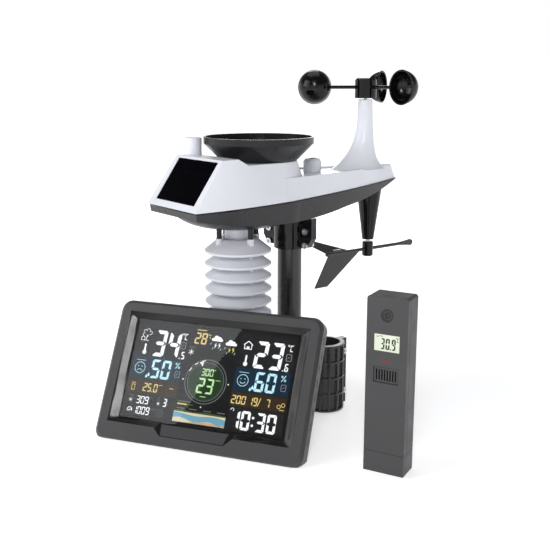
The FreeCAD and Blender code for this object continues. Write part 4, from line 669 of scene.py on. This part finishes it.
def compass(ink):
    """The wind dial: a green disc with rings, ticks, a pointer and its figures."""
    x, y = at(0.4915, 0.556)
    white, lime = ink["white"], ink["lime"]
    ink["moss"].disc(x, y, 20.6, 56)
    for radius, width in ((24.4, 1.0), (21.4, 0.7)):
        ink["grey"].ring(x, y, radius, width, steps=64)
    for k in range(48):
        ink["grey"].bar(polar(x, y, 19.9, 7.5 * k), polar(x, y, 18.9, 7.5 * k), 0.25)
    for angle in (105, 128, 150):
        white.ring(x, y, 23.6, 0.9, angle - 5, angle + 5, 6)
    centre, tip = Vector((x, y)), Vector(polar(0, 0, 1, 112))
    side = Vector((-tip.y, tip.x))
    white.poly([centre + tip * 17.2, centre + tip * 22.6 + side * 2.6, centre + tip * 22.6 - side * 2.6])
    for across, up in ((26.6, 0), (-26.6, 0), (0, -27.6)):
        white.disc(x + across, y + up, 0.8, 12)
    lime.figures("300", x - 6.8, y + 6.2, 8.0, 0.13, 0.52)
    lime.ring(x + 9.0, y + 13.4, 0.8, 0.4, steps=12)
    lime.figures("23", x - 9.4, y - 13.0, 16.6, 0.125, 0.52)
    lime.strokes(x, y, 0.6, [((11.5, 2.6), (17.0, 2.6))])
    lime.strokes(x, y, 0.8, [((-3.4, -16.4), (3.4, -16.4))])


def comfort_picture(ink):
    """The middle column's foot: a level bar, four short labels and a shore with water and sand."""
    x, y = at(0.338, 0.90)
    ink["grey"].strokes(x, y, 0.9, [((1.0, 11.8), (16.0, 11.8))])
    ink["yellow"].box(x + 0.8, y + 8.2, x + 12.0, y + 9.6)
    ink["leaf"].box(x + 12.0, y + 8.2, x + 19.4, y + 9.6)
    ink["grey"].strokes(x, y, 1.0, [((start, 4.4), (start + 9.0, 4.4)) for start in (1.0, 15.5, 32.5, 48.5)])
    (x0, y0), (x1, y1) = at(0.330, 1.0), at(0.656, 0.862)
    ink["leaf"].poly([(x0, y1 - 2.0), (x0 + 9, y1 - 0.6), (x0 + 22, y1 - 2.4), (x0 + 37, y1 - 1.0),
                      (x1, y1 - 2.2), (x1, y1 - 3.6), (x0, y1 - 3.2)])
    ink["cream"].box(x0, y0, x1, y1 - 2.8)
    steps = 14
    across = [x0 + (x1 - x0) * k / steps for k in range(steps + 1)]
    shore = [(px, y0 + 4.2 + 1.5 * math.sin(k * 0.8) - 0.22 * k) for k, px in enumerate(across)]
    crest = [(px, y0 + 9.6 + 0.9 * math.sin(k * 0.6 + 1.2) - 0.1 * k) for k, px in enumerate(across)]
    ink["sky"].poly([*shore, *crest[::-1]])
    ink["sand"].poly([(x0 + 14, y0), (x1, y0), (x1, y0 + 2.6), (x0 + 38, y0 + 2.8), (x0 + 24, y0 + 1.6)])


def console_display():
    """Three columns of readings on the display, drawn as its backlit segments, one mesh to a colour."""
    ink = {colour: Ink() for colour in LIT}
    reading_bands(ink)
    tree(ink["white"], *at(OUTDOOR[0] + 0.052, 0.20))
    house(ink["white"], *at(INDOOR[0] + 0.052, 0.20))
    climate(ink, OUTDOOR[0], 0.062, 0.112, "34", ".5", "50", smile=False)
    climate(ink, INDOOR[0], 0.052, 0.098, "23", ".6", "60", smile=True)
    rain_reading(ink)
    light_and_pressure(ink)
    date_and_time(ink)
    outlook(ink)
    compass(ink)
    comfort_picture(ink)
    for colour, pen in ink.items():
        pen.make(f"display_{colour}", CONSOLE, LEVELS.get(colour, FIGURE_LEVEL), 0.03, "console", "display",
                 LIT[colour])


console_display()

# the slope inside the console's frame: the middle of its height, half its width, and its foot and top
FRAME_MIDDLE, FRAME_HALF = 83, 112
FRAME_FOOT, FRAME_TOP = 12, 150


def bezel_slope_shade():
    """A glossy black film on the slope between the console's frame and its glass, as painted shade on that slope.
    """
    back = CONSOLE.inverted()
    turn = back.to_3x3()

    def sloping(face):
        """Whether a face leans in towards the glass, inside the frame's flat front."""
        place, out = back @ face.calc_center_median() / MM, turn @ face.normal
        within = abs(place.x) < FRAME_HALF and FRAME_FOOT < place.y < FRAME_TOP and -8.0 < place.z < -0.05
        inward = out.x * -place.x / 1.5 + out.y * (FRAME_MIDDLE - place.y)
        return within and 0.1 < out.z < 0.97 and inward > 0
    # the slope is coated glossy black as painted shade
    black = moulded("slope_shade_black", (0.008, 0.008, 0.008), rough=0.17, grain=0.4, depth=0.002, mottle=0.05,
                    edge=0.3, Specular_IOR_Level=0.36)
    plated("bezel_slope_shade", skin_of("console_bezel", sloping), 0.03, "console", "gloss_black", black, smooth=20)


bezel_slope_shade()


# ---------------------------------------------------------------- thermometer face
EYE_UP, FIGURES_UP, RED_MARK_UP = 162.0, 128.0, 116.4
GRILLE_HALF, GRILLE_LOW, GRILLE_HIGH = 13.0, 95.0, 109.0
GAUZE_PITCH, GAUZE_WIRE = 0.5, 0.2


def remote_figures():
    """Dark figures on the thermometer's small display."""
    dark = Ink()
    dark.figures("30", -6.6, FIGURES_UP, 11.0, 0.135, 0.37, 0.04)
    dark.box(3.1, FIGURES_UP, 4.3, FIGURES_UP + 1.2)
    dark.figures("9", 4.6, FIGURES_UP, 11.0, 0.135, 0.37, 0.04)
    dark.celsius(8.6, FIGURES_UP + 8.6, 4.4)
    dark.ring(-9.6, FIGURES_UP + 12.2, 0.9, 0.35, steps=12)
    dark.bar((-7.8, FIGURES_UP + 13.0), (-4.2, FIGURES_UP + 13.0), 0.5)
    dark.make("remote_figures", REMOTE, -0.69, 0.03, "remote", "remote_display",
              printed("segment_black", (0.012, 0.014, 0.012), 0.4))


def remote_red_mark():
    """The red mark: a dot with two arcs on each side, printed red and given a painted glow."""
    mark = Ink()
    mark.disc(0.0, RED_MARK_UP, 0.9, 14)
    for radius in (2.2, 3.8):
        for start in (-42, 138):
            mark.ring(0.0, RED_MARK_UP, radius, 0.55, start, start + 84, 8)
    # the printed mark is given a painted glow
    mark.make("remote_red_mark", REMOTE, 0.005, 0.04, "remote", "remote_case",
              glowing("red_mark_glow", (0.42, 0.03, 0.06, 1), 0.5))


def remote_recess_shades():
    """Dark rings painted as shade round the eye's recess, and a dark frame painted as shade inside the grille's
    recess.
    """
    eye_shade_rings = Ink()
    # painted shade: dark rings in the eye's recess
    eye_shade_rings.ring(0.0, EYE_UP, 5.6, 1.5, steps=40)
    eye_shade_rings.ring(0.0, EYE_UP, 3.3, 0.6, steps=30)
    eye_shade_rings.make("remote_eye_painted_shade", REMOTE, -1.19, 0.06, "remote", "jack_black")
    grille_shade_frame = Ink()
    # painted shade: a dark frame along the edges of the grille's recess
    for up in (GRILLE_LOW - 0.5, GRILLE_HIGH + 0.5):
        grille_shade_frame.bar((-12.6, up), (12.6, up), 0.8)
    for side in (-12.5, 12.5):
        grille_shade_frame.bar((side, GRILLE_LOW - 0.6), (side, GRILLE_HIGH + 0.6), 0.8)
    grille_shade_frame.make("remote_grille_painted_shade", REMOTE, -0.79, 0.06, "remote", "jack_black")


def remote_gauze():
    """The dust gauze behind the grille, as crossed wires."""
    gauze = Ink()
    for k in range(round(2 * GRILLE_HALF / GAUZE_PITCH) + 1):
        left = GAUZE_PITCH * k - GRILLE_HALF
        gauze.box(left, GRILLE_LOW, left + GAUZE_WIRE, GRILLE_HIGH)
    for k in range(round((GRILLE_HIGH - GRILLE_LOW) / GAUZE_PITCH) + 1):
        foot = GRILLE_LOW + GAUZE_PITCH * k
        gauze.box(-GRILLE_HALF, foot, GRILLE_HALF + GAUZE_WIRE, foot + GAUZE_WIRE)
    gauze.make("remote_gauze", REMOTE, -2.6, 0.15, "remote", "jack_black")


remote_figures()
remote_red_mark()
remote_recess_shades()
remote_gauze()


# ---------------------------------------------------------------- camera
def camera():
    """A long lens, a little above the set, from the solar panel's near corner."""
    data = bpy.data.cameras.new("camera")
    data.sensor_width = 36.0
    data.lens = 55.64
    data.clip_start = 0.01
    made = bpy.data.objects.new("camera", data)
    made.location = (-0.6152, -0.7281, 0.3375)
    pitch_down, turn_right = 12.92, 36.7
    made.rotation_euler = (math.radians(90 - pitch_down), 0, math.radians(-turn_right))
    bpy.context.scene.collection.objects.link(made)
    bpy.context.scene.camera = made
    return made


eye = camera()


# ---------------------------------------------------------------- stage and light
def area_light(name, place, target, size, power, colour=(1, 1, 1), upright=(0, 0, 1)):
    """A rectangular softbox at a place, facing a target, its height as near to upright as that allows."""
    data = bpy.data.lights.new(name, "AREA")
    data.shape = "RECTANGLE"
    data.size, data.size_y = size
    data.energy = power
    data.color = colour
    lamp = bpy.data.objects.new(name, data)
    back = (Vector(place) - Vector(target)).normalized()
    lamp.matrix_world = face_frame(Vector(upright).cross(back), back, place)
    bpy.context.scene.collection.objects.link(lamp)


def floor():
    """A wide pale floor on the table's level, which glows more the further it is from the set."""
    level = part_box("console_feet")[0].z
    bm = bmesh.new()
    bmesh.ops.create_grid(bm, x_segments=24, y_segments=24, size=30.0,
                          matrix=Matrix.Translation((0, 0, level)))
    mesh = bpy.data.meshes.new("floor")
    bm.to_mesh(mesh)
    bm.free()
    made = bpy.data.objects.new("floor", mesh)
    bpy.context.scene.collection.objects.link(made)
    g = Graph("paper_floor")
    fibre = g.ramp(g.noise(2 * MM, detail=3.0), 0.0, 1.0)
    away = g.node("ShaderNodeVectorMath", {0: g.space}, operation="LENGTH").outputs["Value"]
    g.feed(Base_Color=g.blend(fibre, (0.86, 0.86, 0.87, 1), (0.90, 0.90, 0.91, 1)), Roughness=0.8,
           Specular_IOR_Level=0.1, Emission_Color=(1.0, 1.0, 1.0, 1.0),
           Emission_Strength=g.ramp(away, low=0.52, high=0.95, start=0.25, end=1.3))
    mesh.materials.append(g.material)


def sky():
    """Bright at the horizon and dimmer overhead."""
    world = bpy.data.worlds.new("studio")
    bpy.context.scene.world = world
    world.use_nodes = True
    graph = world.node_tree
    space = graph.nodes.new("ShaderNodeTexCoord").outputs["Generated"]
    split = graph.nodes.new("ShaderNodeSeparateXYZ")
    graph.links.new(space, split.inputs[0])
    ramp = graph.nodes.new("ShaderNodeValToRGB")
    graph.links.new(split.outputs["Z"], ramp.inputs[0])
    stops = ramp.color_ramp.elements
    stops[0].position, stops[0].color = 0.0, (1.0, 1.0, 1.0, 1)
    stops[1].position, stops[1].color = 1.0, (0.16, 0.165, 0.175, 1)
    for position, level in ((0.13, 1.0), (0.30, 0.28), (0.46, 0.12)):
        stop = stops.new(position)
        stop.color = (level, level, level * 1.01, 1)
    graph.links.new(ramp.outputs[0], graph.nodes["Background"].inputs["Color"])
    graph.nodes["Background"].inputs["Strength"].default_value = 1.0


def bounce(across, up, normal, reach):
    """Where a ray from the eye goes after it meets a point of the console's glass or its slope."""
    spot = CONSOLE @ Vector((across * MM, up * MM, -5 * MM))
    ray = (spot - eye.location).normalized()
    return spot + (ray - normal * 2 * ray.dot(normal)) * reach


def glare():
    """A softbox whose mirror image covers the upper left of the console's glass, up to a slanted line."""
    normal = console_out.normalized()
    top, low, far = (bounce(across, up, normal, 1.1) for across, up in ((30, 138), (-24, 30), (-110, 83)))
    edge = (top - low).normalized()
    outward = far - (top + low) / 2
    outward = (outward - edge * outward.dot(edge)).normalized()
    wide, tall = 0.55, 0.9
    place = (top + low) / 2 + outward * wide / 2
    back = place - CONSOLE.translation
    back = (back - edge * back.dot(edge)).normalized()
    area_light("glare", place, place - back, (wide, tall), 2.2, (0.96, 0.98, 1.0), edge)


def slope_light():
    """A tall softbox that the left slope of the console's frame mirrors."""
    slope = (CONSOLE.to_3x3() @ Vector((0.414, 0, 0.910))).normalized()
    across, up = -103, FRAME_MIDDLE
    spot = CONSOLE @ Vector((across * MM, up * MM, -4 * MM))
    area_light("slope", bounce(across, up, slope, 1.5), spot, (0.28, 0.5), 6.0)


SET_MIDDLE = (-0.03, 0.03, 0.13)
# each softbox's place, its width and height, and its watts
SOFTBOXES = {
    "key": ((-1.35, -1.25, 1.55), (1.0, 1.0), 3.0),
    "side": ((-1.7, 0.9, 1.1), (0.9, 1.2), 9.0),
    "top": ((0.2, 0.5, 1.9), (1.4, 1.4), 6.0),
    "rim": ((0.95, 1.3, 0.5), (0.4, 1.3), 5.0),
}

floor()
sky()
for name, (place, size, power) in SOFTBOXES.items():
    area_light(name, place, SET_MIDDLE, size, power)
glare()
slope_light()
bpy.context.scene.view_settings.view_transform = "Standard"
